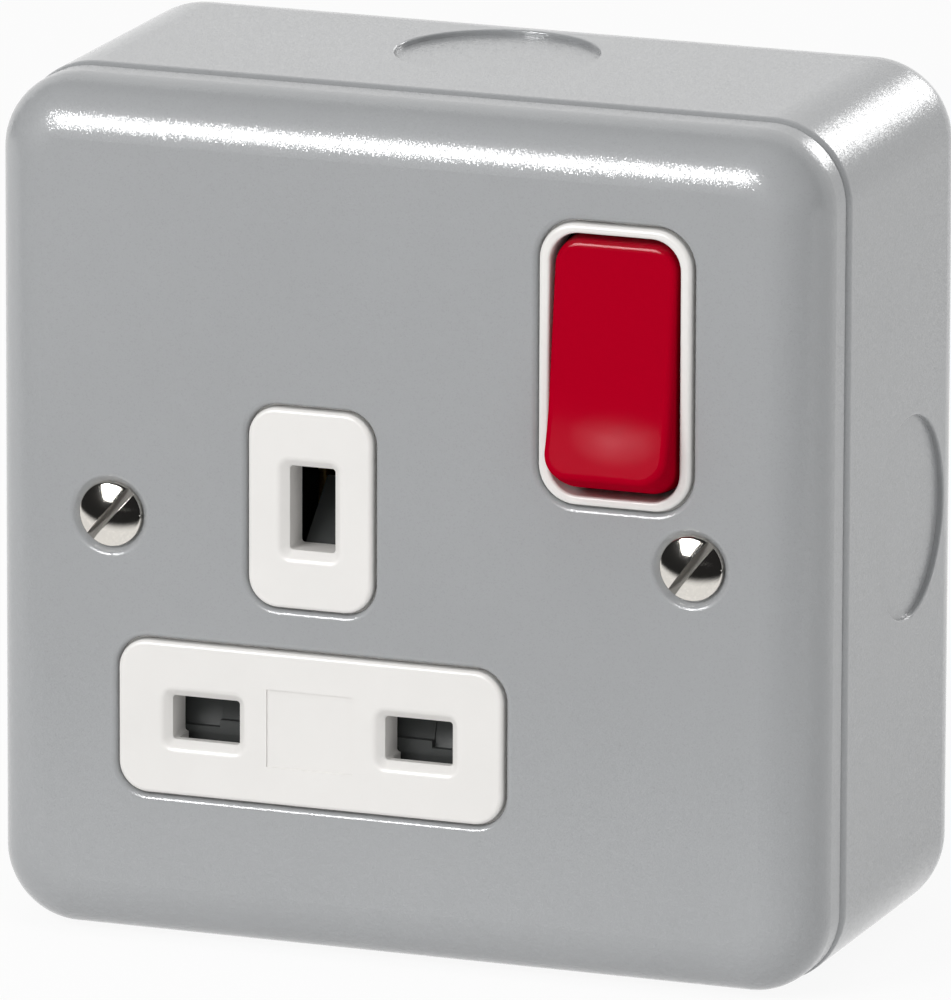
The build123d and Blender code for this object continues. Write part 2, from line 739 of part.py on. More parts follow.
def make_rocker():
    """Red rocker: face kicked out at its foot, ends turned about its pivot, two plunger tubes behind."""
    reach = 2 * rocker_end_radius
    slope = math.radians(rocker_face_slope)
    foot = (-rocker_kick_place, rocker_crown)
    head = (reach, rocker_crown + (reach + rocker_kick_place) * math.tan(slope))
    flat = Line(head, foot)
    turn = math.degrees(rocker_end_radius / rocker_kick_radius)
    kick = JernArc(foot, (-math.cos(slope), -math.sin(slope)), rocker_kick_radius, -turn)
    low_y = (kick @ 1).X
    sides = Polyline(kick @ 1, (low_y, -rocker_skirt), (reach, -rocker_skirt), head)
    outline = make_face([flat, kick, sides]) & Circle(rocker_end_radius)
    body = extrude(Plane.YZ * outline, rocker_width / 2, both=True)
    back_reach = math.sqrt(rocker_end_radius ** 2 - rocker_skirt ** 2)
    ends = [edge for edge in body.edges().filter_by(GeomType.CIRCLE)
            if abs(edge.radius - rocker_end_radius) < rocker_gap / 10]
    body = fillet(ends, rocker_corner_radius)
    front = body.faces().sort_by_distance((0, 0, rocker_crown))[0]
    body = fillet(front.edges(), rocker_edge_radius)
    pocket_half = rocker_width / 2 - rocker_wall
    pocket_length = back_reach - 2 * rocker_wall
    body -= block(-pocket_half, pocket_half, -pocket_length, pocket_length,
                  -2 * rocker_skirt, rocker_crown - 2 * rocker_wall)
    for side in (-1, 1):
        body += rod(side * pole_offset, 0, -tube_reach, rocker_crown - rocker_wall, tube_radius)
    for side in (-1, 1):
        body -= rod(side * pole_offset, 0, -2 * tube_reach, -bore_end, plunger_radius + plunger_clearance)
    trunnion_reach = rocker_width / 2 + rocker_gap + trunnion_length - 4 * pivot_clearance
    for side in (-1, 1):
        xs = sorted((side * pocket_half, side * trunnion_reach))
        body += cross_rod(xs[0], xs[1], 0, 0, trunnion_radius)
    return switched_off(Pos(switch_x, switch_y, pivot_z) * body)


def make_plunger(x):
    """Round-nosed plunger in a tube of the rocker."""
    head_z = plunger_length - plunger_reach
    nose_z = plunger_radius - plunger_reach
    body = rod(0, 0, nose_z, head_z, plunger_radius) + Pos(0, 0, nose_z) * Sphere(plunger_radius)
    return switched_off(Pos(x, switch_y, pivot_z) * body)


def coil(radius, wire, turns, length):
    """A coil spring along z, from 0 to length."""
    path = Helix((length - wire) / turns, length - wire, radius)
    section = Plane(origin=path @ 0, z_dir=path % 0) * Circle(wire / 2)
    return Pos(0, 0, wire / 2) * sweep(section, path, is_frenet=True)


def make_plunger_spring(x):
    """Spring between a plunger and the blind end of its tube."""
    low_z = plunger_length - plunger_reach + spring_end_gap
    length = -bore_end - spring_end_gap - low_z
    spring = Pos(0, 0, low_z) * coil(plunger_spring_radius, plunger_spring_wire, plunger_spring_turns, length)
    return switched_off(Pos(x, switch_y, pivot_z) * spring)


def seesaw_off(shape):
    """Turn a see-saw contact from mid travel to its off position."""
    return about_pivot(shape, switch_y, fulcrum_z, rocker_tilt)


def make_moving_contact(x):
    """See-saw contact: two arms in a shallow V that rock on a knife edge."""
    reach_y = contact_arm * math.cos(tilt)
    reach_z = contact_arm * math.sin(tilt)
    back_y = reach_y + contact_thickness * math.sin(tilt)
    back_z = reach_z - contact_thickness * math.cos(tilt)
    heel_z = -contact_thickness / math.cos(tilt)
    outline = ((-reach_y, reach_z), (0, 0), (reach_y, reach_z),
               (back_y, back_z), (0, heel_z), (-back_y, back_z))
    body = side_profile(outline, 0, contact_width)
    flare = 2 * contact_groove * math.tan(math.radians(groove_half_angle))
    apex_z = heel_z + contact_groove
    groove = ((0, apex_z), (flare, apex_z - 2 * contact_groove), (-flare, apex_z - 2 * contact_groove))
    body -= side_profile(groove, 0, 2 * contact_width)
    return seesaw_off(Pos(x, switch_y, contact_front_z) * body)


def make_moving_tip(x):
    """Silver tip on the back of the see-saw's upper arm."""
    tip = Pos(0, tip_place, -contact_thickness - tip_thickness / 2) * Cylinder(tip_radius, tip_thickness)
    raised = Rot(rocker_tilt, 0, 0) * tip
    return seesaw_off(Pos(x, switch_y, contact_front_z) * raised)


def make_fixed_contact_tips():
    """Silver tips on the two terminals, facing the see-saws."""
    tips = [rod(x, fixed_tip_y, fixed_arm_front_z, fixed_tip_front_z, tip_radius)
            for x in (neutral_pole_x, line_pole_x)]
    return tips[0] + tips[1]


# Contacts and terminals

def line_route():
    """Strap from the line pin to the line see-saw."""
    return ((line_x, pin_row_y), (line_run_x, pin_row_y), (line_run_x, line_jog_y),
            (line_pole_x, line_jog_y), (line_pole_x, switch_y))


def neutral_route():
    """Strap from the neutral pin to the neutral see-saw."""
    return ((neutral_x, pin_row_y), (neutral_x, neutral_run_y), (neutral_pole_x, neutral_run_y),
            (neutral_pole_x, switch_y))


def clip_leaf(grip, root_z, height):
    """Outline of one spring leaf as (offset, z): it leans in to its grip and flares at its mouth."""
    root = grip + clip_root_room
    top_z = root_z + height
    neck_z = top_z - clip_flare_length
    mouth = grip + clip_flare
    return ((root, root_z), (grip, neck_z), (mouth, top_z), (mouth + clip_thickness, top_z),
            (grip + clip_thickness, neck_z), (root + clip_thickness, root_z))


def make_pin_contact(x, route):
    """Line or neutral contact: a sprung clip round the pin, its strap and the see-saw's knife edge."""
    grip = flat_pin_height / 2 - clip_grip
    body = strap(route, floor_front_z)
    foot = grip + clip_root_room + clip_thickness
    body += block(x - flat_clip_width / 2, x + flat_clip_width / 2, pin_row_y - foot, pin_row_y + foot,
                  floor_front_z, strap_front_z)
    leaf = side_profile(clip_leaf(grip, strap_front_z, flat_clip_height), 0, flat_clip_width)
    body += Pos(x, pin_row_y, 0) * leaf
    body += Pos(x, pin_row_y, 0) * mirror(leaf, Plane.XZ)
    pole_x, pole_y = route[-1]
    edge_z = fulcrum_z - fulcrum_clearance
    half = strap_thickness / 2
    knife = ((pole_y - half, floor_front_z), (pole_y - half, edge_z - half), (pole_y, edge_z),
             (pole_y + half, edge_z - half), (pole_y + half, floor_front_z))
    return body + side_profile(knife, pole_x, strap_width)


def make_switch_terminal(x):
    """Brass terminal for a supply wire, with the arm that carries the fixed tip."""
    body = terminal_block(x)
    half = strap_width / 2
    return body + block(x - half, x + half, fixed_tip_y - half, terminal_high_y - half,
                        terminal_front_z, fixed_arm_front_z)


def terminal_block(x):
    """Brass block with a wire way from above and a clamping screw from behind."""
    body = block(x - terminal_width / 2, x + terminal_width / 2, terminal_low_y, terminal_high_y,
                 terminal_back_z, terminal_front_z)
    body -= upright_rod(x, terminal_low_y + housing_wall, terminal_high_y + housing_wall, wire_way_z,
                        wire_way_radius)
    return body - rod(x, (terminal_low_y + terminal_high_y) / 2, terminal_back_z - housing_wall, wire_way_z,
                      terminal_screw_radius + thread_clearance)


def make_earth_terminals():
    """Two earth terminals side by side."""
    first, second = [terminal_block(x) for x in earth_terminal_xs]
    return first + second


def terminal_screw(x, y, tip_z, seat_z, out):
    """Slotted clamping screw whose head stands out from seat_z in the direction out along z."""
    shank = sorted((tip_z, seat_z))
    screw = rod(x, y, shank[0], shank[1], terminal_screw_radius)
    head = sorted((seat_z, seat_z + out * terminal_screw_head))
    screw += rod(x, y, head[0], head[1], terminal_screw_head_radius)
    slot = sorted((seat_z + out * terminal_screw_head / 2, seat_z + out * 2 * terminal_screw_head))
    return screw - block(x - terminal_screw_head_radius, x + terminal_screw_head_radius,
                         y - screw_slot_width / 2, y + screw_slot_width / 2, slot[0], slot[1])


def make_terminal_screws():
    """Clamping screws of the four terminals."""
    y = (terminal_low_y + terminal_high_y) / 2
    screws = [terminal_screw(x, y, wire_way_z - wire_way_radius / 2, terminal_back_z, -1) for x in terminal_xs]
    return sum(screws[1:], screws[0])


def make_earth_contact():
    """Earth strap: a bar across the earth terminals, and a clip round the earth pin."""
    bar_left = earth_terminal_xs[0] - terminal_width / 2
    half = strap_width
    body = block(bar_left, socket_axis_x + half, terminal_low_y - strap_width, terminal_high_y - strap_width / 2,
                 earth_strap_back_z, earth_strap_front_z)
    grip = earth_pin_width / 2 - clip_grip
    foot = grip + clip_root_room + clip_thickness
    body += block(socket_axis_x - half, socket_axis_x + half, earth_y, terminal_low_y,
                  earth_strap_back_z, earth_strap_front_z)
    pad = earth_aperture_height / 2 + strap_thickness
    body += block(socket_axis_x - foot, socket_axis_x + foot, earth_y - pad, earth_y + pad,
                  earth_strap_back_z, earth_strap_front_z)
    window = grip + clip_root_room
    body -= block(socket_axis_x - window, socket_axis_x + window, earth_y - earth_aperture_height / 2,
                  earth_y + earth_aperture_height / 2, floor_front_z, split_z + strap_thickness)
    leaf = side_profile(clip_leaf(grip, earth_strap_front_z, earth_clip_height), 0, earth_clip_width)
    turned = Rot(0, 0, -90) * leaf
    body += Pos(socket_axis_x, earth_y, 0) * turned
    return body + Pos(socket_axis_x, earth_y, 0) * mirror(turned, Plane.YZ)


def make_plate_earth_link():
    """Brass link from the earth strap, out past the moulding and up to the plate's left stud."""
    x, y = left_stud
    half = link_width / 2
    outer_x = moulding_left - link_clearance
    foot_x = earth_terminal_xs[0] + terminal_width / 2
    body = block(outer_x - strap_thickness, foot_x, y - half, y + half,
                 earth_strap_front_z, earth_strap_front_z + strap_thickness)
    body += block(outer_x - strap_thickness, outer_x, y - half, y + half, earth_strap_front_z, wall_back_z)
    body += block(x, outer_x, y - half, y + half, wall_back_z - strap_thickness, wall_back_z)
    body += rod(x, y, wall_back_z - strap_thickness, wall_back_z, half)
    return body - rod(x, y, split_z, boss_face_z, stud_diameter / 2 + stud_clearance)


# Shutter

def make_shutter():
    """Grey shutter: a bar across the two lower apertures, and a ramp under the earth pin."""
    body = block(socket_axis_x - shutter_half_width, socket_axis_x + shutter_half_width,
                 shutter_bottom, shutter_top, shutter_back_z, shutter_front_z)
    cam_back_z = shutter_front_z - cam_depth
    ramp = ((shutter_bottom, shutter_front_z), (cam_front_low, shutter_front_z), (cam_top, cam_back_z),
            (cam_front_low - cam_foot, cam_back_z), (cam_front_low - cam_foot, shutter_back_z),
            (shutter_bottom, shutter_back_z))
    body += side_profile(ramp, socket_axis_x, shutter_stem_width)
    half = aperture_width / 2 + shutter_side / 2
    for side in (-1, 1):
        pin_x = socket_axis_x + side * pin_spacing / 2
        for half_side, drop in ((1, ledge_outer_drop), (-1, ledge_inner_drop)):
            ledge_y = pin_row_y - drop
            hollow = ((ledge_y, shutter_front_z + ledge_step), (ledge_y, shutter_front_z - ledge_step),
                      (shutter_top + ledge_step, shutter_front_z - ledge_step - blade_slope),
                      (shutter_top + ledge_step, shutter_front_z + ledge_step))
            body -= side_profile(hollow, pin_x + side * half_side * half / 2, half)
    peg_z = (shutter_front_z + shutter_back_z) / 2
    return body + upright_rod(socket_axis_x, shutter_bottom - spring_peg_length, shutter_bottom + stop_gap,
                              peg_z, spring_peg_radius)


def make_shutter_spring():
    """Return spring under the shutter."""
    length = shutter_bottom - spring_seat_y - 2 * spring_end_gap
    spring = coil(shutter_spring_radius, shutter_spring_wire, shutter_spring_turns, length)
    upright = Rot(-90, 0, 0) * spring
    spring_z = (shutter_front_z + shutter_back_z) / 2
    return Pos(socket_axis_x, spring_seat_y + spring_end_gap, spring_z) * upright


def make_pieces():
    """Every piece by name, in the wall's frame."""
    return {
        "back_box": make_back_box(),
        "box_fixing_lugs": make_box_fixing_lugs(),
        "box_earth_terminal": make_box_earth_terminal(),
        "box_earth_screw": make_box_earth_screw(),
        "front_plate": make_front_plate(),
        "fixing_screws": make_fixing_screws(),
        "front_moulding": make_front_moulding(),
        "rear_moulding": make_rear_moulding(),
        "moulding_screws": make_moulding_screws(),
        "stud_washers": make_stud_washers(),
        "stud_nuts": make_stud_nuts(),
        "rocker": make_rocker(),
        "line_plunger": make_plunger(line_pole_x),
        "neutral_plunger": make_plunger(neutral_pole_x),
        "line_plunger_spring": make_plunger_spring(line_pole_x),
        "neutral_plunger_spring": make_plunger_spring(neutral_pole_x),
        "line_moving_contact": make_moving_contact(line_pole_x),
        "neutral_moving_contact": make_moving_contact(neutral_pole_x),
        "line_moving_tip": make_moving_tip(line_pole_x),
        "neutral_moving_tip": make_moving_tip(neutral_pole_x),
        "fixed_contact_tips": make_fixed_contact_tips(),
        "line_terminal": make_switch_terminal(line_pole_x),
        "neutral_terminal": make_switch_terminal(neutral_pole_x),
        "line_pin_contact": make_pin_contact(line_x, line_route()),
        "neutral_pin_contact": make_pin_contact(neutral_x, neutral_route()),
        "earth_contact": make_earth_contact(),
        "earth_terminals": make_earth_terminals(),
        "terminal_screws": make_terminal_screws(),
        "plate_earth_link": make_plate_earth_link(),
        "shutter": make_shutter(),
        "shutter_spring": make_shutter_spring(),
    }


def main():
    """Stand each piece up and write it."""
    os.makedirs("parts", exist_ok=True)
    for name, piece in make_pieces().items():
        export_step(Rot(90, 0, 0) * piece, f"parts/{name}.step")


if __name__ == "__main__":
    main()
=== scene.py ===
"""Dresses the metal clad switched socket: finishes, lamps, floor and camera on top of the CAD frame."""

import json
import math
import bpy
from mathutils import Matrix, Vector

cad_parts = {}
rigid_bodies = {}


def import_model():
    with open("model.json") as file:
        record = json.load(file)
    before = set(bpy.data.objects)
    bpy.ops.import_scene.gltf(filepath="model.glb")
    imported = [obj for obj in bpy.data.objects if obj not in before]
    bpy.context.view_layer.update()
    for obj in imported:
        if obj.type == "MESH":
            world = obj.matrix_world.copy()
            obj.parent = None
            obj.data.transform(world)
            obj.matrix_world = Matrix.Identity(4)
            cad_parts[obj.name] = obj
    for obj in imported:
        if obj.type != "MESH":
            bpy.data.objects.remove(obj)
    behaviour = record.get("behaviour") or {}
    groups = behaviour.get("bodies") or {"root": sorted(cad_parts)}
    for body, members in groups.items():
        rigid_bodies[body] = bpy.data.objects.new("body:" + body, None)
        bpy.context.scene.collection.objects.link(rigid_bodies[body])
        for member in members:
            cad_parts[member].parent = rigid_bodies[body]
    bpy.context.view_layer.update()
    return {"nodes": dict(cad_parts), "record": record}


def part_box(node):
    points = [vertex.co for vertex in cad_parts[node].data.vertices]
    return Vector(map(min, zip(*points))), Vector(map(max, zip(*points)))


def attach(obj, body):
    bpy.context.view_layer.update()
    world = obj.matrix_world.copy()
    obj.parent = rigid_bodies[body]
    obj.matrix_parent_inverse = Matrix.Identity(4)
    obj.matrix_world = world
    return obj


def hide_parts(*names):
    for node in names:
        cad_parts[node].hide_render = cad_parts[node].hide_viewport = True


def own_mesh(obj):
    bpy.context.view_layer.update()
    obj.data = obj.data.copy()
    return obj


bl_info = {
    "name": "Metal clad switched socket",
    "version": (1, 0, 0),
    "blender": (4, 5, 0),
    "location": "View3D > Sidebar > Socket",
    "description": "Models and finishes the pieces of a one gang metal clad switched socket",
    "category": "Object",
}

import bmesh
import bpy
from mathutils import Matrix, Vector

# Blender's start-up objects go first, so that only the frame is measured.
for start_up_object in list(bpy.data.objects):
    bpy.data.objects.remove(start_up_object)
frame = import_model()

# The floor is level with the underside of the box.
floor_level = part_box("back_box")[0].z

# Finishes by the name of their slot, filled when the first one is needed.
finishes = {}

# Nodes that keep their CAD shape but get rounded edges of this width, in metres.
softened_nodes = (
    ("shutter", 0.00022),
    ("box_fixing_lugs", 0.00018),
    ("box_earth_terminal", 0.0003),
    ("line_terminal", 0.00018),
    ("neutral_terminal", 0.00018),
    ("earth_terminals", 0.0003),
    ("stud_nuts", 0.0002),
    ("plate_earth_link", 0.00012),
    ("rear_moulding", 0.00018),
    ("line_moving_contact", 0.00012),
    ("neutral_moving_contact", 0.00012),
    ("line_pin_contact", 0.00012),
    ("neutral_pin_contact", 0.00012),
    ("earth_contact", 0.00012),
)

# Angles between faces: those that lie flat, those to be rounded and those that stay sharp
flat_angle = math.radians(1.0)
rounded_angle = math.radians(40.0)
sharp_angle = math.radians(35.0)
screw_sharp_angle = math.radians(30.0)

# Points closer than this are one point, in metres.
merge_distance = 1e-7
copy_merge_distance = 2e-6

# Steps round one turn of a thread, and how far its tip narrows
thread_steps = 28
tip_taper = 0.72

# Rocker's coat: where the painted highlight on its top edge starts, in shares of its height, and the patch of
# painted sheen with scuffs in metres
rocker_coat_roughness = 0.2
top_highlight_start = 0.955
top_highlight_full = 0.985
patch_level = 0.25
patch_shift = 0.001
patch_size = (0.0050, 0.02, 0.0029)

# Stage, in metres: what the lamps look at, the cards, the mirrored room and the floors
stage_centre = (0.0, -0.03, 0.0)
card_distance = 1.2
card_edge = 0.5
room_radius = 1.3
room_open_from = 0.5
floor_size = 8.0
floor_grey = 0.86
floor_white_share = 0.92
dark_floor_size = (2.4, 1.1, 1.0)
dark_floor_y = -0.645
dark_floor_lift = 0.0005
dark_floor_full = 0.46


# Sizes and colours that a user would change

class FinishColours(bpy.types.PropertyGroup):
    """Colours of the finishes, as they look under plain light."""

    enamel: bpy.props.FloatVectorProperty(
        name="Enamel", description="Grey stoved enamel on the box and the plate",
        subtype="COLOR", size=3, min=0.0, max=1.0, default=(0.348, 0.356, 0.364))
    fleck: bpy.props.FloatVectorProperty(
        name="Fleck", description="Fine metal flecks in the enamel",
        subtype="COLOR", size=3, min=0.0, max=1.0, default=(0.62, 0.63, 0.64))
    moulding: bpy.props.FloatVectorProperty(
        name="Moulding", description="White thermoset of the socket front",
        subtype="COLOR", size=3, min=0.0, max=1.0, default=(0.775, 0.76, 0.738))
    rocker: bpy.props.FloatVectorProperty(
        name="Rocker", description="Red moulding of the switch rocker",
        subtype="COLOR", size=3, min=0.0, max=1.0, default=(0.375, 0.0, 0.012))
    shutter: bpy.props.FloatVectorProperty(
        name="Shutter", description="Dark grey nylon of the shutter",
        subtype="COLOR", size=3, min=0.0, max=1.0, default=(0.053, 0.056, 0.055))
    dark_moulding: bpy.props.FloatVectorProperty(
        name="Dark moulding", description="Black thermoset of the rear moulding",
        subtype="COLOR", size=3, min=0.0, max=1.0, default=(0.020, 0.020, 0.021))
    nylon: bpy.props.FloatVectorProperty(
        name="Nylon", description="Natural nylon of the plungers",
        subtype="COLOR", size=3, min=0.0, max=1.0, default=(0.71, 0.68, 0.60))
    nickel: bpy.props.FloatVectorProperty(
        name="Nickel", description="Bright nickel on the plate's fixing screws",
        subtype="COLOR", size=3, min=0.0, max=1.0, default=(0.74, 0.71, 0.66))
    zinc: bpy.props.FloatVectorProperty(
        name="Zinc", description="Zinc plate on the lugs, screws, nuts and washers",
        subtype="COLOR", size=3, min=0.0, max=1.0, default=(0.60, 0.61, 0.62))
    spring: bpy.props.FloatVectorProperty(
        name="Spring", description="Drawn spring wire",
        subtype="COLOR", size=3, min=0.0, max=1.0, default=(0.42, 0.42, 0.43))
    brass: bpy.props.FloatVectorProperty(
        name="Brass", description="Rolled brass of the contacts and terminals",
        subtype="COLOR", size=3, min=0.0, max=1.0, default=(0.72, 0.50, 0.20))
    silver: bpy.props.FloatVectorProperty(
        name="Silver", description="Silver alloy of the contact tips",
        subtype="COLOR", size=3, min=0.0, max=1.0, default=(0.80, 0.79, 0.76))


class ScrewSizes(bpy.types.PropertyGroup):
    """Sizes of the screws that the frame doesn't give."""

    dome: bpy.props.FloatProperty(
        name="Dome", description="Height of the raised head above its rim", unit="LENGTH", default=0.0008)
    land: bpy.props.FloatProperty(
        name="Land", description="Upright edge under the raised head's rim", unit="LENGTH", default=0.0006)
    slot_width: bpy.props.FloatProperty(
        name="Slot width", description="Width of the driving slot", unit="LENGTH", default=0.0009)
    slot_depth: bpy.props.FloatProperty(
        name="Slot depth", description="Depth of the fixing screw's slot", unit="LENGTH", default=0.0010)
    left_turn: bpy.props.FloatProperty(
        name="Left turn", description="Turn of the left screw's slot", subtype="ANGLE",
        default=math.radians(49.0))
    right_turn: bpy.props.FloatProperty(
        name="Right turn", description="Turn of the right screw's slot", subtype="ANGLE",
        default=math.radians(52.0))
    fixing_thread: bpy.props.FloatProperty(
        name="Fixing thread", description="Radius of the fixing screw's thread", unit="LENGTH",
        default=0.00175)
    moulding_thread: bpy.props.FloatProperty(
        name="Moulding thread", description="Radius of the moulding screw's thread", unit="LENGTH",
        default=0.0012)
    terminal_thread: bpy.props.FloatProperty(
        name="Terminal thread", description="Radius of the terminal screw's thread", unit="LENGTH",
        default=0.0015)
    small_head: bpy.props.FloatProperty(
        name="Small head", description="Height of the moulding and terminal screws' heads", unit="LENGTH",
        default=0.0016)
    pitch: bpy.props.FloatProperty(
        name="Pitch", description="Rise of a thread in one turn", unit="LENGTH", default=0.0006)


class StageSettings(bpy.types.PropertyGroup):
    """Camera, lamps and floor."""

    eye: bpy.props.FloatVectorProperty(
        name="Eye", description="Where the camera stands", subtype="TRANSLATION", unit="LENGTH",
        size=3, default=(0.53276, -1.45121, 0.37624))
    target: bpy.props.FloatVectorProperty(
        name="Target", description="Point the camera looks at", subtype="TRANSLATION", unit="LENGTH",
        size=3, default=(-0.000383, -0.022423, -0.001060))
    roll: bpy.props.FloatProperty(
        name="Roll", description="Turn of the camera about its own axis", subtype="ANGLE",
        default=math.radians(0.208))
    focal_length: bpy.props.FloatProperty(
        name="Focal length", description="Lens of the camera in millimetres on a 36 mm frame",
        default=574.96)
    ambient: bpy.props.FloatProperty(
        name="Ambient", description="Strength of the white surroundings", min=0.0, default=0.5)
    key_power: bpy.props.FloatProperty(
        name="Key power", description="Softbox in front, left and above", unit="POWER", default=4.6)
    top_power: bpy.props.FloatProperty(
        name="Top power", description="Softbox overhead", unit="POWER", default=2.0)
    right_power: bpy.props.FloatProperty(
        name="Right power", description="Softbox on the right", unit="POWER", default=1.0)
    fill_power: bpy.props.FloatProperty(
        name="Fill power", description="Low strip in front, just above the floor", unit="POWER", default=1.5)
    front_glow: bpy.props.FloatProperty(
        name="Front glow", description="Strength of the card that the gloss mirrors in front",
        min=0.0, default=26.0)
    room_glow: bpy.props.FloatProperty(
        name="Room glow", description="Strength of the dark room in front", min=0.0, default=0.02)
    rim_glow: bpy.props.FloatProperty(
        name="Rim glow", description="Strength of the card behind on the right", min=0.0, default=7.0)


# Node groups that several finishes share

def start_group(name, inputs, outputs):
    """An empty shader node group with float sockets, and its two end nodes."""
    group = bpy.data.node_groups.new(name, "ShaderNodeTree")
    for label, value in inputs:
        socket = group.interface.new_socket(label, in_out="INPUT", socket_type="NodeSocketFloat")
        socket.default_value = value
    for label in outputs:
        group.interface.new_socket(label, in_out="OUTPUT", socket_type="NodeSocketFloat")
    start = group.nodes.new("NodeGroupInput")
    end = group.nodes.new("NodeGroupOutput")
    return group, start, end


def add_node(tree, kind, values=None, **settings):
    """One node with its settings and its plain socket values."""
    node = tree.nodes.new(kind)
    for label, value in settings.items():
        setattr(node, label, value)
    for label, value in (values or {}).items():
        node.inputs[label].default_value = value
    return node


def flecks_group():
    """Tiny cells, of which a share is picked at random: metal flecks, spangle or dust."""
    group, start, end = start_group(
        "fine_flecks", (("Cells per metre", 9000.0), ("Share", 0.2)), ("Mask", "Shade"))
    place = add_node(group, "ShaderNodeTexCoord")
    cells = add_node(group, "ShaderNodeTexVoronoi", feature="F1")
    group.links.new(place.outputs["Object"], cells.inputs["Vector"])
    group.links.new(start.outputs["Cells per metre"], cells.inputs["Scale"])
    split = add_node(group, "ShaderNodeSeparateColor")
    group.links.new(cells.outputs["Color"], split.inputs["Color"])
    pick = add_node(group, "ShaderNodeMath", operation="LESS_THAN")
    group.links.new(split.outputs["Red"], pick.inputs[0])
    group.links.new(start.outputs["Share"], pick.inputs[1])
    group.links.new(pick.outputs["Value"], end.inputs["Mask"])
    group.links.new(split.outputs["Green"], end.inputs["Shade"])
    return group


def flakes_group():
    """Metal flakes in a paint: small cells that each lean their own way."""
    group, start, end = start_group("leaning_flakes", (("Cells per metre", 9000.0), ("Lean", 0.1)), ())
    group.interface.new_socket("Normal", in_out="OUTPUT", socket_type="NodeSocketVector")
    place = add_node(group, "ShaderNodeTexCoord")
    cells = add_node(group, "ShaderNodeTexVoronoi", feature="F1")
    group.links.new(place.outputs["Object"], cells.inputs["Vector"])
    group.links.new(start.outputs["Cells per metre"], cells.inputs["Scale"])
    centred = add_node(group, "ShaderNodeVectorMath", operation="SUBTRACT")
    group.links.new(cells.outputs["Color"], centred.inputs[0])
    centred.inputs[1].default_value = (0.5, 0.5, 0.5)
    lean = add_node(group, "ShaderNodeVectorMath", operation="SCALE")
    group.links.new(centred.outputs["Vector"], lean.inputs[0])
    group.links.new(start.outputs["Lean"], lean.inputs["Scale"])
    surface = add_node(group, "ShaderNodeNewGeometry")
    leaned = add_node(group, "ShaderNodeVectorMath", operation="ADD")
    group.links.new(surface.outputs["Normal"], leaned.inputs[0])
    group.links.new(lean.outputs["Vector"], leaned.inputs[1])
    unit = add_node(group, "ShaderNodeVectorMath", operation="NORMALIZE")
    group.links.new(leaned.outputs["Vector"], unit.inputs[0])
    group.links.new(unit.outputs["Vector"], end.inputs["Normal"])
    return group


def skin_group():
    """Uneven skin of a coat or a moulding: a fine height and a broad, slow drift."""
    group, start, end = start_group(
        "uneven_skin", (("Fine per metre", 1500.0), ("Broad per metre", 60.0)), ("Fine", "Broad"))
    place = add_node(group, "ShaderNodeTexCoord")
    for label, source, detail in (("Fine", "Fine per metre", 3.0), ("Broad", "Broad per metre", 4.0)):
        noise = add_node(group, "ShaderNodeTexNoise", {"Detail": detail, "Roughness": 0.55})
        group.links.new(place.outputs["Object"], noise.inputs["Vector"])
        group.links.new(start.outputs[source], noise.inputs["Scale"])
        group.links.new(noise.outputs["Fac"], end.inputs[label])
    return group


def drawn_lines_group():
    """Fine lines along one direction, as rolling, drawing or brushing leaves on metal."""
    group, start, end = start_group(
        "drawn_lines", (("Along per metre", 300.0), ("Across per metre", 9000.0), ("Turn", 0.0)), ("Lines",))
    place = add_node(group, "ShaderNodeTexCoord")
    stretch = add_node(group, "ShaderNodeCombineXYZ")
    group.links.new(start.outputs["Along per metre"], stretch.inputs["X"])
    group.links.new(start.outputs["Across per metre"], stretch.inputs["Y"])
    group.links.new(start.outputs["Across per metre"], stretch.inputs["Z"])
    turn = add_node(group, "ShaderNodeCombineXYZ")
    group.links.new(start.outputs["Turn"], turn.inputs["Y"])
    mapping = add_node(group, "ShaderNodeMapping", vector_type="TEXTURE")
    group.links.new(place.outputs["Object"], mapping.inputs["Vector"])
    group.links.new(turn.outputs["Vector"], mapping.inputs["Rotation"])
    scaled = add_node(group, "ShaderNodeVectorMath", operation="MULTIPLY")
    group.links.new(mapping.outputs["Vector"], scaled.inputs[0])
    group.links.new(stretch.outputs["Vector"], scaled.inputs[1])
    noise = add_node(group, "ShaderNodeTexNoise", {"Scale": 1.0, "Detail": 3.0, "Roughness": 0.6})
    group.links.new(scaled.outputs["Vector"], noise.inputs["Vector"])
    group.links.new(noise.outputs["Fac"], end.inputs["Lines"])
    return group


def place_group(tree, group, **values):
    """A group node with its own values; underscores in the names stand for spaces."""
    node = tree.nodes.new("ShaderNodeGroup")
    node.node_tree = group
    for label, value in values.items():
        node.inputs[label.replace("_", " ")].default_value = value
    return node


def ranged(tree, source, low, high):
    """A value from 0 to 1 spread between low and high."""
    node = add_node(tree, "ShaderNodeMapRange", {"To Min": low, "To Max": high})
    tree.links.new(source, node.inputs["Value"])
    return node.outputs["Result"]


def tinted(tree, mask, first, second):
    """Two colours mixed by a mask that changes over the surface."""
    node = add_node(tree, "ShaderNodeMix", data_type="RGBA")
    tree.links.new(mask, node.inputs["Factor"])
    for socket, colour in ((node.inputs["A"], first), (node.inputs["B"], second)):
        if isinstance(colour, bpy.types.NodeSocket):
            tree.links.new(colour, socket)
        else:
            socket.default_value = (*colour, 1.0)
    return node.outputs["Result"]


def shaded(colour, share):
    """A colour made lighter or darker by a share."""
    return tuple(min(1.0, channel * share) for channel in colour)


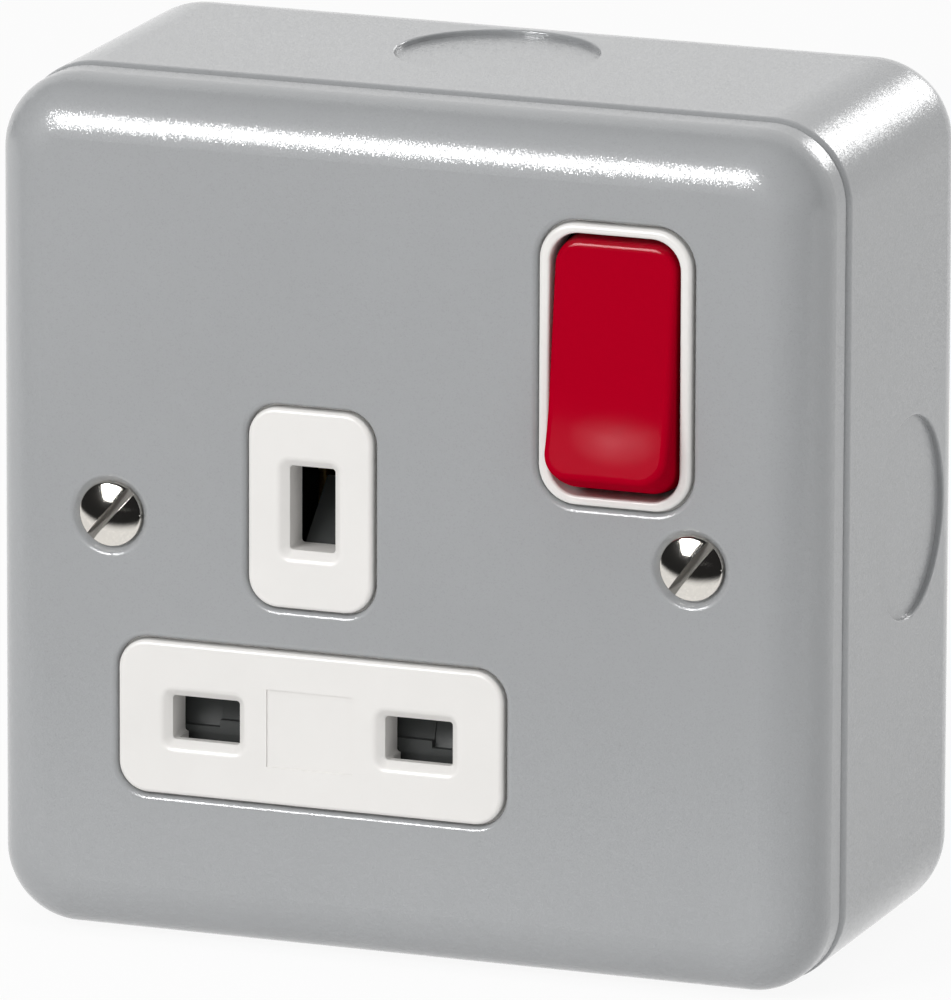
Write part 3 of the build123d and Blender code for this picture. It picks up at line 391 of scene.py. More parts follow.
def start_material(name, **values):
    """A material with one Principled shader and the values that are the same all over."""
    material = bpy.data.materials.new(name)
    material.use_nodes = True
    tree = material.node_tree
    tree.nodes.clear()
    end = tree.nodes.new("ShaderNodeOutputMaterial")
    shader = tree.nodes.new("ShaderNodeBsdfPrincipled")
    tree.links.new(shader.outputs["BSDF"], end.inputs["Surface"])
    for label, value in values.items():
        shader.inputs[label.replace("_", " ")].default_value = value
    return material, tree, shader


def bumped(tree, shader, height, depth, strength=1.0):
    """Lets a height feed the shader's normal, and gives the bump."""
    bump = add_node(tree, "ShaderNodeBump", {"Distance": depth, "Strength": strength})
    tree.links.new(height, bump.inputs["Height"])
    tree.links.new(bump.outputs["Normal"], shader.inputs["Normal"])
    return bump


def enamel_finish(colours, groups):
    """Stoved enamel: grey coat with fine metal flecks and a slight orange peel."""
    material, tree, shader = start_material(
        "grey_enamel", Specular_IOR_Level=0.3, Coat_Weight=0.55, Coat_Roughness=0.38)
    flecks = place_group(tree, groups["flecks"], Cells_per_metre=9000.0, Share=0.22)
    skin = place_group(tree, groups["skin"], Fine_per_metre=900.0, Broad_per_metre=45.0)
    drift = tinted(tree, skin.outputs["Broad"], shaded(colours.enamel, 0.96), shaded(colours.enamel, 1.04))
    strength = add_node(tree, "ShaderNodeMath", operation="MULTIPLY")
    tree.links.new(flecks.outputs["Mask"], strength.inputs[0])
    tree.links.new(ranged(tree, flecks.outputs["Shade"], 0.03, 0.18), strength.inputs[1])
    tree.links.new(tinted(tree, strength.outputs["Value"], drift, colours.fleck), shader.inputs["Base Color"])
    tree.links.new(ranged(tree, flecks.outputs["Shade"], 0.03, 0.06), shader.inputs["Roughness"])
    tree.links.new(strength.outputs["Value"], shader.inputs["Metallic"])
    bump = bumped(tree, shader, skin.outputs["Fine"], 0.000012, 0.6)
    flakes = place_group(tree, groups["flakes"], Cells_per_metre=10000.0, Lean=0.15)
    tree.links.new(flakes.outputs["Normal"], bump.inputs["Normal"])
    return material


def moulding_finish(name, colour, groups, rough_low, rough_high, grain, gloss=0.5):
    """Thermoset or nylon moulding: even colour with a faint drift and a fine moulded skin."""
    material, tree, shader = start_material(name, Specular_IOR_Level=gloss)
    skin = place_group(tree, groups["skin"], Fine_per_metre=grain, Broad_per_metre=120.0)
    tint = tinted(tree, skin.outputs["Broad"], shaded(colour, 0.965), shaded(colour, 1.03))
    tree.links.new(tint, shader.inputs["Base Color"])
    tree.links.new(ranged(tree, skin.outputs["Fine"], rough_low, rough_high), shader.inputs["Roughness"])
    bumped(tree, shader, skin.outputs["Fine"], 0.00001, 0.5)
    return material


def paint_coat_highlights(material, node, top_highlight_share, sheen_and_scuff_share, least):
    """Raise a moulding's coat along a node's top edge, a painted highlight, and in a patch low on its face, a
    painted sheen broken up by scuffs.
    """
    low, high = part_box(node)
    height = high.z - low.z
    tree = material.node_tree
    shader = tree.nodes["Principled BSDF"]
    shader.inputs["Coat Roughness"].default_value = rocker_coat_roughness
    place = add_node(tree, "ShaderNodeTexCoord")
    split = add_node(tree, "ShaderNodeSeparateXYZ")
    tree.links.new(place.outputs["Object"], split.inputs["Vector"])
    # The coat band along the top edge is a painted highlight.
    top = add_node(tree, "ShaderNodeMapRange", {
        "From Min": low.z + height * top_highlight_start, "From Max": low.z + height * top_highlight_full,
        "To Min": least, "To Max": top_highlight_share})
    tree.links.new(split.outputs["Z"], top.inputs["Value"])
    # The patch low on the face is a painted sheen, broken up by scuff noise.
    patch_place = ((low.x + high.x) / 2 + patch_shift, low.y, low.z + height * patch_level)
    patch = add_node(tree, "ShaderNodeMapping", {"Location": patch_place, "Scale": patch_size},
                     vector_type="TEXTURE")
    tree.links.new(place.outputs["Object"], patch.inputs["Vector"])
    round_patch = add_node(tree, "ShaderNodeTexGradient", gradient_type="SPHERICAL")
    tree.links.new(patch.outputs["Vector"], round_patch.inputs["Vector"])
    scuffs = add_node(tree, "ShaderNodeTexNoise", {"Scale": 3.0, "Detail": 5.0, "Roughness": 0.7})
    tree.links.new(patch.outputs["Vector"], scuffs.inputs["Vector"])
    sheen_and_scuffs = add_node(tree, "ShaderNodeMath", operation="MULTIPLY")
    tree.links.new(round_patch.outputs["Fac"], sheen_and_scuffs.inputs[0])
    tree.links.new(ranged(tree, scuffs.outputs["Fac"], 0.0, 2.0 * sheen_and_scuff_share), sheen_and_scuffs.inputs[1])
    both = add_node(tree, "ShaderNodeMath", operation="ADD")
    tree.links.new(top.outputs["Result"], both.inputs[0])
    tree.links.new(sheen_and_scuffs.outputs["Value"], both.inputs[1])
    tree.links.new(both.outputs["Value"], shader.inputs["Coat Weight"])
    return material


def metal_finish(name, colour, groups, rough_low, rough_high, along, across, turn, spangle):
    """Bare or plated metal: lines of its making, a patchy tarnish and fine spangle."""
    material, tree, shader = start_material(name, Metallic=1.0)
    lines = place_group(tree, groups["lines"], Along_per_metre=along, Across_per_metre=across, Turn=turn)
    skin = place_group(tree, groups["skin"], Fine_per_metre=2500.0, Broad_per_metre=220.0)
    flecks = place_group(tree, groups["flecks"], Cells_per_metre=spangle, Share=0.4)
    tarnish = tinted(tree, skin.outputs["Broad"], shaded(colour, 0.86), shaded(colour, 1.08))
    bright = add_node(tree, "ShaderNodeMath", operation="MULTIPLY")
    tree.links.new(flecks.outputs["Mask"], bright.inputs[0])
    tree.links.new(ranged(tree, flecks.outputs["Shade"], 0.0, 0.25), bright.inputs[1])
    tint = tinted(tree, bright.outputs["Value"], tarnish, shaded(colour, 1.18))
    tree.links.new(tint, shader.inputs["Base Color"])
    tree.links.new(ranged(tree, lines.outputs["Lines"], rough_low, rough_high), shader.inputs["Roughness"])
    bumped(tree, shader, lines.outputs["Lines"], 0.000008, 0.5)
    return material


def sawn_and_shaded_slots(material, colour):
    """Roughen the sawn floors of the screws' slots, the faces of a metal that look straight forwards, and
    darken their colour as painted shade in the slots.
    """
    tree = material.node_tree
    shader = tree.nodes["Principled BSDF"]
    geometry = add_node(tree, "ShaderNodeNewGeometry")
    forwards = add_node(tree, "ShaderNodeVectorMath", operation="DOT_PRODUCT")
    tree.links.new(geometry.outputs["True Normal"], forwards.inputs[0])
    forwards.inputs[1].default_value = (0.0, -1.0, 0.0)
    sawn = add_node(tree, "ShaderNodeMath", operation="GREATER_THAN")
    tree.links.new(forwards.outputs["Value"], sawn.inputs[0])
    sawn.inputs[1].default_value = 0.9995
    # The darker colour of the slot floors is painted shade in the slots; the added roughness below is their
    # sawn finish.
    plated = shader.inputs["Base Color"].links[0].from_socket
    shaded_floor = tinted(tree, sawn.outputs["Value"], plated, shaded(colour, 0.6))
    tree.links.new(shaded_floor, shader.inputs["Base Color"])
    smooth = shader.inputs["Roughness"].links[0].from_socket
    rough = add_node(tree, "ShaderNodeMath", operation="MULTIPLY_ADD")
    tree.links.new(sawn.outputs["Value"], rough.inputs[0])
    rough.inputs[1].default_value = 0.25
    tree.links.new(smooth, rough.inputs[2])
    tree.links.new(rough.outputs["Value"], shader.inputs["Roughness"])
    return material


def make_finishes():
    """Every finish by the name of its slot."""
    colours = bpy.context.scene.socket_colours
    groups = {"flecks": flecks_group(), "flakes": flakes_group(), "skin": skin_group(),
              "lines": drawn_lines_group()}
    return {
        "grey_enamel": enamel_finish(colours, groups),
        "white_moulding": moulding_finish("white_moulding", colours.moulding, groups, 0.30, 0.42, 2600.0),
        "red_rocker": paint_coat_highlights(
            moulding_finish("red_rocker", colours.rocker, groups, 0.3, 0.4, 1500.0, 0.0),
            "rocker", 0.6, 0.06, 0.010),
        "shutter_grey": moulding_finish("shutter_grey", colours.shutter, groups, 0.38, 0.55, 3200.0, 0.15),
        "black_moulding": moulding_finish(
            "black_moulding", colours.dark_moulding, groups, 0.34, 0.5, 2600.0),
        "nylon": moulding_finish("nylon", colours.nylon, groups, 0.36, 0.48, 2600.0),
        "bright_nickel": sawn_and_shaded_slots(
            metal_finish("bright_nickel", colours.nickel, groups, 0.06, 0.13,
                         500.0, 12000.0, math.radians(-50.0), 5000.0),
            colours.nickel),
        "zinc_steel": metal_finish("zinc_steel", colours.zinc, groups, 0.26, 0.44,
                                   400.0, 5000.0, 0.0, 2600.0),
        "spring_steel": metal_finish("spring_steel", colours.spring, groups, 0.22, 0.36,
                                     900.0, 6000.0, 0.0, 6000.0),
        "terminal_brass": metal_finish("terminal_brass", colours.brass, groups, 0.22, 0.36,
                                       250.0, 7000.0, 0.0, 4000.0),
        "silver": metal_finish("silver", colours.silver, groups, 0.24, 0.40, 900.0, 3000.0, 0.0, 5000.0),
    }


def finish_for(slot):
    """The finish of a slot, made with the others when the first one is asked for."""
    if not finishes:
        finishes.update(make_finishes())
    return finishes[slot]


def dress_node(name, slot):
    """Gives a CAD node its finish."""
    node = frame["nodes"][name]
    node.data.materials.clear()
    node.data.materials.append(finish_for(slot))


def slot_of(name):
    """The record's material slot of a CAD node."""
    for entry in frame["record"]["subparts"]:
        if entry["node"] == name:
            return entry["material_slot"]
    raise RuntimeError("no slot is recorded for " + name)


# Modelling helpers

def start_piece():
    """Leave nothing selected, so that the next primitive stands alone."""
    bpy.ops.object.select_all(action="DESELECT")


def choose(test, kind="FACE"):
    """Select the faces, edges or points of the piece in edit mode that pass a test."""
    bpy.ops.mesh.select_mode(type=kind)
    bpy.ops.mesh.select_all(action="DESELECT")
    shape = bmesh.from_edit_mesh(bpy.context.edit_object.data)
    parts = {"FACE": shape.faces, "EDGE": shape.edges, "VERT": shape.verts}[kind]
    picked = [part for part in parts if test(part)]
    if not picked:
        raise RuntimeError("nothing to select on " + bpy.context.edit_object.name)
    for part in picked:
        part.select_set(True)
    bmesh.update_edit_mesh(bpy.context.edit_object.data)


def settle(piece):
    """Put a piece's place and turn into its mesh."""
    start_piece()
    piece.select_set(True)
    bpy.context.view_layer.objects.active = piece
    bpy.ops.object.transform_apply(location=True, rotation=True, scale=True)


def tidy_shell(piece):
    """Merge doubles, point faces outwards and smooth all but the sharp edges."""
    settle(piece)
    bpy.ops.object.mode_set(mode="EDIT")
    bpy.ops.mesh.select_all(action="SELECT")
    bpy.ops.mesh.remove_doubles(threshold=merge_distance)
    bpy.ops.mesh.normals_make_consistent(inside=False)
    bpy.ops.object.mode_set(mode="OBJECT")
    bpy.ops.object.shade_smooth_by_angle(angle=screw_sharp_angle)


def cut_away(piece, cutter):
    """Take a cutter out of a piece and throw the cutter away."""
    cut = piece.modifiers.new("cut", "BOOLEAN")
    cut.operation = "DIFFERENCE"
    cut.solver = "EXACT"
    cut.object = cutter
    bpy.context.view_layer.objects.active = piece
    bpy.ops.object.modifier_apply(modifier=cut.name)
    bpy.data.objects.remove(cutter)


def join_pieces(pieces, name):
    """Make one piece of several, with its own name."""
    start_piece()
    for piece in pieces:
        piece.select_set(True)
    bpy.context.view_layer.objects.active = pieces[0]
    if len(pieces) > 1:
        bpy.ops.object.join()
    joined = bpy.context.view_layer.objects.active
    joined.name = name
    joined.data.name = name
    return joined


def body_of_node(node):
    """The body that a CAD node rides on."""
    for body, members in frame["record"]["behaviour"]["bodies"].items():
        if node in members:
            return body
    raise RuntimeError("no body carries " + node)


def stand_for(piece, node):
    """Let a finished piece take a node's place, body and finish."""
    slot = slot_of(node)
    piece.data.materials.clear()
    piece.data.materials.append(finish_for(slot))
    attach(piece, body_of_node(node))
    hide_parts(node)


def solids_of(node):
    """Lowest and highest corner of each separate solid in a CAD node, from left to right, back and up."""
    shape = bmesh.new()
    shape.from_mesh(frame["nodes"][node].data)
    bmesh.ops.remove_doubles(shape, verts=shape.verts, dist=merge_distance)
    waiting = set(shape.verts)
    boxes = []
    while waiting:
        group = [waiting.pop()]
        for point in group:
            for edge in point.link_edges:
                other = edge.other_vert(point)
                if other in waiting:
                    waiting.remove(other)
                    group.append(other)
        low = Vector(tuple(min(point.co[axis] for point in group) for axis in range(3)))
        high = Vector(tuple(max(point.co[axis] for point in group) for axis in range(3)))
        boxes.append((low, high))
    shape.free()
    return sorted(boxes, key=lambda box: tuple(round(value, 6) for value in box[0] + box[1]))


def merged_copy(node, name):
    """A copy of a CAD node with its doubled points merged, active and in object mode."""
    piece = bpy.data.objects.new(name, frame["nodes"][node].data.copy())
    bpy.context.scene.collection.objects.link(piece)
    settle(piece)
    bpy.ops.mesh.customdata_custom_splitnormals_clear()
    bpy.ops.object.mode_set(mode="EDIT")
    bpy.ops.mesh.select_all(action="SELECT")
    bpy.ops.mesh.remove_doubles(threshold=copy_merge_distance)
    bpy.ops.object.mode_set(mode="OBJECT")
    return piece


def add_spring(node):
    """A merged, smoothed copy of a spring that takes its node's place, body and finish."""
    piece = merged_copy(node, node + "_wound")
    bpy.ops.object.shade_smooth_by_angle(angle=sharp_angle)
    stand_for(piece, node)
    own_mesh(piece)


def softened_copy(node, width):
    """A merged copy of a CAD node with its sharp edges rounded a little."""
    piece = merged_copy(node, node + "_softened")
    bpy.ops.object.mode_set(mode="EDIT")
    bpy.ops.mesh.select_all(action="SELECT")
    bpy.ops.mesh.dissolve_limited(angle_limit=flat_angle)
    bpy.ops.object.mode_set(mode="OBJECT")
    soften = piece.modifiers.new("soften", "BEVEL")
    soften.width = width
    soften.segments = 2
    soften.limit_method = "ANGLE"
    soften.angle_limit = rounded_angle
    bpy.ops.object.modifier_apply(modifier=soften.name)
    bpy.ops.object.shade_smooth_by_angle(angle=sharp_angle)
    return piece


# Screws, all modelled head up along z with the top of the head at zero

def add_thread(radius, pitch, top, tip):
    """The threaded shank of a screw between two levels, closed at both ends and pointed a little."""
    root = radius - pitch / 2
    turns = math.ceil((top - tip) / pitch) + 2
    start_piece()
    bpy.ops.mesh.primitive_circle_add(vertices=4, radius=pitch / 2, location=(root, 0.0, tip - pitch),
                                      rotation=(math.pi / 2, 0.0, 0.0))
    shank = bpy.context.object
    settle(shank)
    bpy.ops.object.mode_set(mode="EDIT")
    choose(lambda point: point.co.x < root - pitch / 4, "VERT")
    bpy.ops.mesh.delete(type="VERT")
    bpy.ops.object.mode_set(mode="OBJECT")
    wind = shank.modifiers.new("wind", "SCREW")
    wind.screw_offset = pitch
    wind.iterations = turns
    wind.steps = thread_steps
    wind.render_steps = thread_steps
    wind.use_merge_vertices = True
    wind.merge_threshold = pitch / 1000
    bpy.ops.object.modifier_apply(modifier=wind.name)
    bpy.ops.object.mode_set(mode="EDIT")
    for level, drop_below in ((tip + pitch / 2, True), (top, False)):
        bpy.ops.mesh.select_all(action="SELECT")
        bpy.ops.mesh.remove_doubles(threshold=pitch / 1000)
        bpy.ops.mesh.bisect(plane_co=(0.0, 0.0, level), plane_no=(0.0, 0.0, 1.0), use_fill=True,
                            clear_inner=drop_below, clear_outer=not drop_below, threshold=merge_distance)
    bpy.ops.mesh.select_all(action="SELECT")
    bpy.ops.mesh.normals_make_consistent(inside=False)
    choose(lambda face: face.normal.z < -0.95 and face.calc_center_median().z < tip + pitch)
    bpy.ops.mesh.extrude_region_move(TRANSFORM_OT_translate={"value": (0.0, 0.0, -pitch / 2)})
    bpy.ops.transform.resize(value=(tip_taper, tip_taper, 1.0), center_override=(0.0, 0.0, tip))
    bpy.ops.object.mode_set(mode="OBJECT")
    tidy_shell(shank)
    return shank


def cut_slot(head, width, depth, turn, reach):
    """Saw the driving slot into a head and soften its edges."""
    start_piece()
    bpy.ops.mesh.primitive_cube_add(size=1.0, location=(0.0, 0.0, 0.0), rotation=(0.0, 0.0, turn))
    saw = bpy.context.object
    saw.scale = (3 * reach, width, 2 * depth)
    settle(saw)
    cut_away(head, saw)
    settle(head)
    across = Vector((-math.sin(turn), math.cos(turn), 0.0))

    def on_slot_edge(edge):
        middle = (edge.verts[0].co + edge.verts[1].co) / 2
        beside = abs(abs(middle.dot(across)) - width / 2) < width / 100
        return beside and middle.z > -depth * 0.98 and edge.calc_face_angle(0.0) > sharp_angle

    bpy.ops.object.mode_set(mode="EDIT")
    choose(on_slot_edge, "EDGE")
    bpy.ops.mesh.bevel(offset=width / 14, segments=2, affect="EDGES", clamp_overlap=True)
    bpy.ops.object.mode_set(mode="OBJECT")


def add_raised_head(sizes, radius, turn):
    """Raised countersunk head: a dome, a short upright land and a cone down to the thread."""
    ball = (sizes.dome ** 2 + radius ** 2) / (2 * sizes.dome)
    start_piece()
    bpy.ops.mesh.primitive_uv_sphere_add(segments=96, ring_count=128, radius=ball, location=(0.0, 0.0, -ball))
    head = bpy.context.object
    settle(head)
    seat = -sizes.dome - sizes.land
    neck = sizes.fixing_thread * 0.96
    bpy.ops.object.mode_set(mode="EDIT")
    bpy.ops.mesh.select_all(action="SELECT")
    bpy.ops.mesh.bisect(plane_co=(0.0, 0.0, -sizes.dome), plane_no=(0.0, 0.0, 1.0), use_fill=True,
                        clear_inner=True, threshold=merge_distance)
    # A ring of points that the cut leaves just above the rim would spoil its rounding.
    choose(lambda point: point.co.z < sizes.land / 10 - sizes.dome, "VERT")
    bpy.ops.mesh.remove_doubles(threshold=sizes.land / 5)
    choose(lambda face: face.normal.z < -0.95)
    bpy.ops.mesh.extrude_region_move(TRANSFORM_OT_translate={"value": (0.0, 0.0, -sizes.land)})
    bpy.ops.mesh.extrude_region_move(TRANSFORM_OT_translate={"value": (0.0, 0.0, neck - radius)})
    bpy.ops.transform.resize(value=(neck / radius, neck / radius, 1.0), center_override=(0.0, 0.0, seat))
    choose(lambda edge: all(abs(point.co.z + sizes.dome) < 1e-6 for point in edge.verts), "EDGE")
    bpy.ops.mesh.bevel(offset=sizes.land / 5, segments=3, affect="EDGES", clamp_overlap=True)
    bpy.ops.object.mode_set(mode="OBJECT")
    cut_slot(head, sizes.slot_width, sizes.slot_depth, turn, radius)
    tidy_shell(head)
    return head


def add_cheese_head(sizes, radius, turn):
    """Small drum-shaped head with a rounded top edge."""
    start_piece()
    bpy.ops.mesh.primitive_cylinder_add(vertices=64, radius=radius, depth=sizes.small_head,
                                        location=(0.0, 0.0, -sizes.small_head / 2))
    head = bpy.context.object
    settle(head)
    bpy.ops.object.mode_set(mode="EDIT")
    choose(lambda edge: all(abs(point.co.z) < 1e-6 for point in edge.verts), "EDGE")
    bpy.ops.mesh.bevel(offset=sizes.small_head * 0.4, segments=6, affect="EDGES")
    bpy.ops.object.mode_set(mode="OBJECT")
    cut_slot(head, sizes.slot_width, sizes.small_head / 2, turn, radius)
    tidy_shell(head)
    return head


def set_screws(node, head_out, turns, make_head, thread, pitch, thread_top):
    """Model a node's screw once for each turn of its slot, and set a copy at each of the node's solids."""
    placed = []
    masters = {}
    for (low, high), turn in zip(solids_of(node), turns):
        radius = (high.z - low.z) / 2
        if turn not in masters:
            shank = add_thread(thread, pitch, thread_top, low.y - high.y)
            masters[turn] = join_pieces([make_head(radius, turn), shank], node + "_master")
        screw = masters[turn].copy()
        screw.data = masters[turn].data.copy()
        bpy.context.scene.collection.objects.link(screw)
        lean = math.pi / 2 if head_out else -math.pi / 2
        screw.rotation_euler = (lean, 0.0, 0.0)
        screw.location = ((low.x + high.x) / 2, low.y if head_out else high.y, (low.z + high.z) / 2)
        settle(screw)
        placed.append(screw)
    for master in masters.values():
        bpy.data.objects.remove(master)
    stand_for(join_pieces(placed, node + "_threaded"), node)


# Operators

class MakeFixingScrews(bpy.types.Operator):
    """Model the two raised head screws that hold the plate"""

    bl_idname = "socket.make_fixing_screws"
    bl_label = "Fixing screws"

    def execute(self, context):
        sizes = context.scene.socket_screws
        low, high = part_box("fixing_screws")
        top = sizes.fixing_thread - (high.z - low.z) / 2 - sizes.dome - sizes.land + sizes.pitch / 2
        set_screws("fixing_screws", True, (sizes.left_turn, sizes.right_turn),
                   lambda radius, turn: add_raised_head(sizes, radius, turn),
                   sizes.fixing_thread, sizes.pitch, top)
        return {"FINISHED"}


class MakeSmallScrews(bpy.types.Operator):
    """Model the screws of the mouldings and the terminals"""

    bl_idname = "socket.make_small_screws"
    bl_label = "Moulding and terminal screws"

    def execute(self, context):
        sizes = context.scene.socket_screws
        for node, head_out, thread in (
                ("moulding_screws", False, sizes.moulding_thread),
                ("terminal_screws", False, sizes.terminal_thread),
                ("box_earth_screw", True, sizes.terminal_thread)):
            turns = [0.0 for solid in solids_of(node)]
            set_screws(node, head_out, turns, lambda radius, turn: add_cheese_head(sizes, radius, turn),
                       thread, sizes.pitch * 0.8, -sizes.small_head * 0.9)
        return {"FINISHED"}


class MakeSoftenedParts(bpy.types.Operator):
    """Round the sharp edges of the shutter, the brass and the pressed steel inside"""

    bl_idname = "socket.make_softened_parts"
    bl_label = "Softened inner parts"

    def execute(self, context):
        for node, width in softened_nodes:
            stand_for(softened_copy(node, width), node)
        return {"FINISHED"}


class MakeSprings(bpy.types.Operator):
    """Copy the coil springs that the joints list as deforming nodes"""

    bl_idname = "socket.make_springs"
    bl_label = "Springs"

    def execute(self, context):
        for joint in frame["record"]["behaviour"]["joints"]:
            for entry in joint.get("deforming_nodes", ()):
                add_spring(entry["node"])
        return {"FINISHED"}


class DressNodes(bpy.types.Operator):
    """Give every CAD node the finish of its slot"""

    bl_idname = "socket.dress_nodes"
    bl_label = "Dress the CAD nodes"

    def execute(self, context):
        for name in frame["nodes"]:
            dress_node(name, slot_of(name))
        return {"FINISHED"}


class SetStage(bpy.types.Operator):
    """Set up the floor, the lamps and the camera"""

    bl_idname = "socket.set_stage"
    bl_label = "Set the stage"

    def execute(self, context):
        settings = context.scene.socket_stage
        make_world(settings)
        make_floor()
        make_lamps(settings)
        make_camera(settings)
        context.scene.view_settings.view_transform = "Standard"
        return {"FINISHED"}


# Stage

def seen_directly(tree):
    """1 for what the camera sees directly, in a reflection or through glass, and 0 for other rays."""
    path = add_node(tree, "ShaderNodeLightPath")
    first = add_node(tree, "ShaderNodeMath", operation="MAXIMUM")
    second = add_node(tree, "ShaderNodeMath", operation="MAXIMUM")
    tree.links.new(path.outputs["Is Camera Ray"], first.inputs[0])
    tree.links.new(path.outputs["Is Glossy Ray"], first.inputs[1])
    tree.links.new(first.outputs["Value"], second.inputs[0])
    tree.links.new(path.outputs["Is Transmission Ray"], second.inputs[1])
    return second.outputs["Value"]


def make_world(settings):
    """White to the eye and in reflections, and a softer white as light."""
    world = bpy.data.worlds.new("studio")
    world.use_nodes = True
    tree = world.node_tree
    tree.nodes.clear()
    end = tree.nodes.new("ShaderNodeOutputWorld")
    paper = (1.0, 1.0, 1.0, 1.0)
    light = add_node(tree, "ShaderNodeBackground", {"Color": paper, "Strength": settings.ambient})
    white = add_node(tree, "ShaderNodeBackground", {"Color": paper, "Strength": 1.0})
    blend = add_node(tree, "ShaderNodeMixShader")
    tree.links.new(seen_directly(tree), blend.inputs["Fac"])
    tree.links.new(light.outputs["Background"], blend.inputs[1])
    tree.links.new(white.outputs["Background"], blend.inputs[2])
    tree.links.new(blend.outputs["Shader"], end.inputs["Surface"])
    bpy.context.scene.world = world


def make_floor():
    """A wide pale floor that keeps a soft shadow of the object."""
    start_piece()
    bpy.ops.mesh.primitive_plane_add(size=floor_size, location=(0.0, 0.0, floor_level))
    floor = bpy.context.object
    floor.name = "floor"
    material = bpy.data.materials.new("pale_floor")
    material.use_nodes = True
    tree = material.node_tree
    tree.nodes.clear()
    end = tree.nodes.new("ShaderNodeOutputMaterial")
    matt = add_node(tree, "ShaderNodeBsdfDiffuse", {"Color": (floor_grey, floor_grey, floor_grey, 1.0)})
    white = add_node(tree, "ShaderNodeEmission", {"Color": (1.0, 1.0, 1.0, 1.0), "Strength": 1.0})
    share = add_node(tree, "ShaderNodeMath", operation="MULTIPLY")
    share.inputs[1].default_value = floor_white_share
    tree.links.new(seen_directly(tree), share.inputs[0])
    blend = add_node(tree, "ShaderNodeMixShader")
    tree.links.new(share.outputs["Value"], blend.inputs["Fac"])
    tree.links.new(matt.outputs["BSDF"], blend.inputs[1])
    tree.links.new(white.outputs["Emission"], blend.inputs[2])
    tree.links.new(blend.outputs["Shader"], end.inputs["Surface"])
    floor.data.materials.append(material)


def aim(thing, place, target):
    """Put a lamp at a place, looking at a target."""
    thing.location = place
    thing.rotation_euler = (Vector(target) - Vector(place)).to_track_quat("-Z", "Y").to_euler()


def add_softbox(name, direction, distance, width, height, power):
    """A rectangular softbox in a direction from the object."""
    lamp = bpy.data.lights.new(name, "AREA")
    lamp.shape = "RECTANGLE"
    lamp.size = width
    lamp.size_y = height
    lamp.energy = power
    thing = bpy.data.objects.new(name, lamp)
    bpy.context.scene.collection.objects.link(thing)
    aim(thing, Vector(direction).normalized() * distance, stage_centre)
    return thing


def make_lamps(settings):
    """Softboxes in front, overhead, on the right and low down, and the cards that the gloss mirrors."""
    for name, direction, distance, width, height, power in (
            ("key", (-0.34, -0.77, 0.54), 1.2, 0.45, 0.34, settings.key_power),
            ("overhead", (0.0, -0.25, 1.0), 1.2, 0.6, 0.4, settings.top_power),
            ("right", (1.0, -0.35, 0.35), 1.2, 0.5, 0.7, settings.right_power),
            ("fill", (-0.15, -1.0, 0.0), 0.9, 0.9, 0.06, settings.fill_power)):
        lamp = add_softbox(name, direction, distance, width, height, power)
        lamp.visible_glossy = False
    add_flat_card("front_card", (-0.348, -0.862, 0.366), (0.2, 0.50), 3.5, ("Y",), 0.46, settings.front_glow)
    add_flat_card("rim_card", (0.24, 0.91, 0.34), (0.50, 0.46), 1.0, ("X", "Y"), 0.20, settings.rim_glow)
    add_dark_room(settings)


def add_flat_card(name, direction, size, spread, axes, full, strength):
    """A glowing card in a direction from the object, wider at its top and fading along its axes."""
    start_piece()
    bpy.ops.mesh.primitive_plane_add(size=1.0)
    card = bpy.context.object
    card.name = name
    bpy.ops.object.mode_set(mode="EDIT")
    choose(lambda point: point.co.y > 0.0, "VERT")
    bpy.ops.transform.resize(value=(spread, 1.0, 1.0), center_override=(0.0, 0.0, 0.0))
    bpy.ops.object.mode_set(mode="OBJECT")
    card.scale = (*size, 1.0)
    aim(card, Vector(direction).normalized() * card_distance, stage_centre)
    make_card(card, axes, full, strength)


def add_dark_room(settings):
    """The unlit room in front, and the floor from some way off, as the gloss mirrors them."""
    start_piece()
    bpy.ops.mesh.primitive_uv_sphere_add(segments=48, ring_count=24, radius=room_radius,
                                         location=(0.0, 0.0, floor_level))
    room = bpy.context.object
    room.name = "dark_room"
    bpy.ops.object.mode_set(mode="EDIT")
    choose(lambda face: face.calc_center_median().y > room_open_from or face.calc_center_median().z < 0.0)
    bpy.ops.mesh.delete(type="FACE")
    bpy.ops.object.mode_set(mode="OBJECT")
    make_card(room, (), 0.0, settings.room_glow)
    start_piece()
    bpy.ops.mesh.primitive_plane_add(size=1.0, location=(0.0, dark_floor_y, floor_level + dark_floor_lift))
    floor = bpy.context.object
    floor.name = "dark_floor"
    floor.scale = dark_floor_size
    make_card(floor, ("Y",), dark_floor_full, settings.room_glow)


def faded(tree, axes, full):
    """A value that is 1 up to a distance along each axis and falls to 0 at the card's edge."""
    place = add_node(tree, "ShaderNodeTexCoord")
    split = add_node(tree, "ShaderNodeSeparateXYZ")
    tree.links.new(place.outputs["Object"], split.inputs["Vector"])
    product = None
    for axis in axes:
        size = add_node(tree, "ShaderNodeMath", operation="ABSOLUTE")
        tree.links.new(split.outputs[axis], size.inputs[0])
        fade = add_node(tree, "ShaderNodeMapRange", {
            "From Min": full, "From Max": card_edge, "To Min": 1.0, "To Max": 0.0},
            interpolation_type="SMOOTHSTEP")
        tree.links.new(size.outputs["Value"], fade.inputs["Value"])
        if product is None:
            product = fade.outputs["Result"]
        else:
            both = add_node(tree, "ShaderNodeMath", operation="MULTIPLY")
            tree.links.new(product, both.inputs[0])
            tree.links.new(fade.outputs["Result"], both.inputs[1])
            product = both.outputs["Value"]
    return product


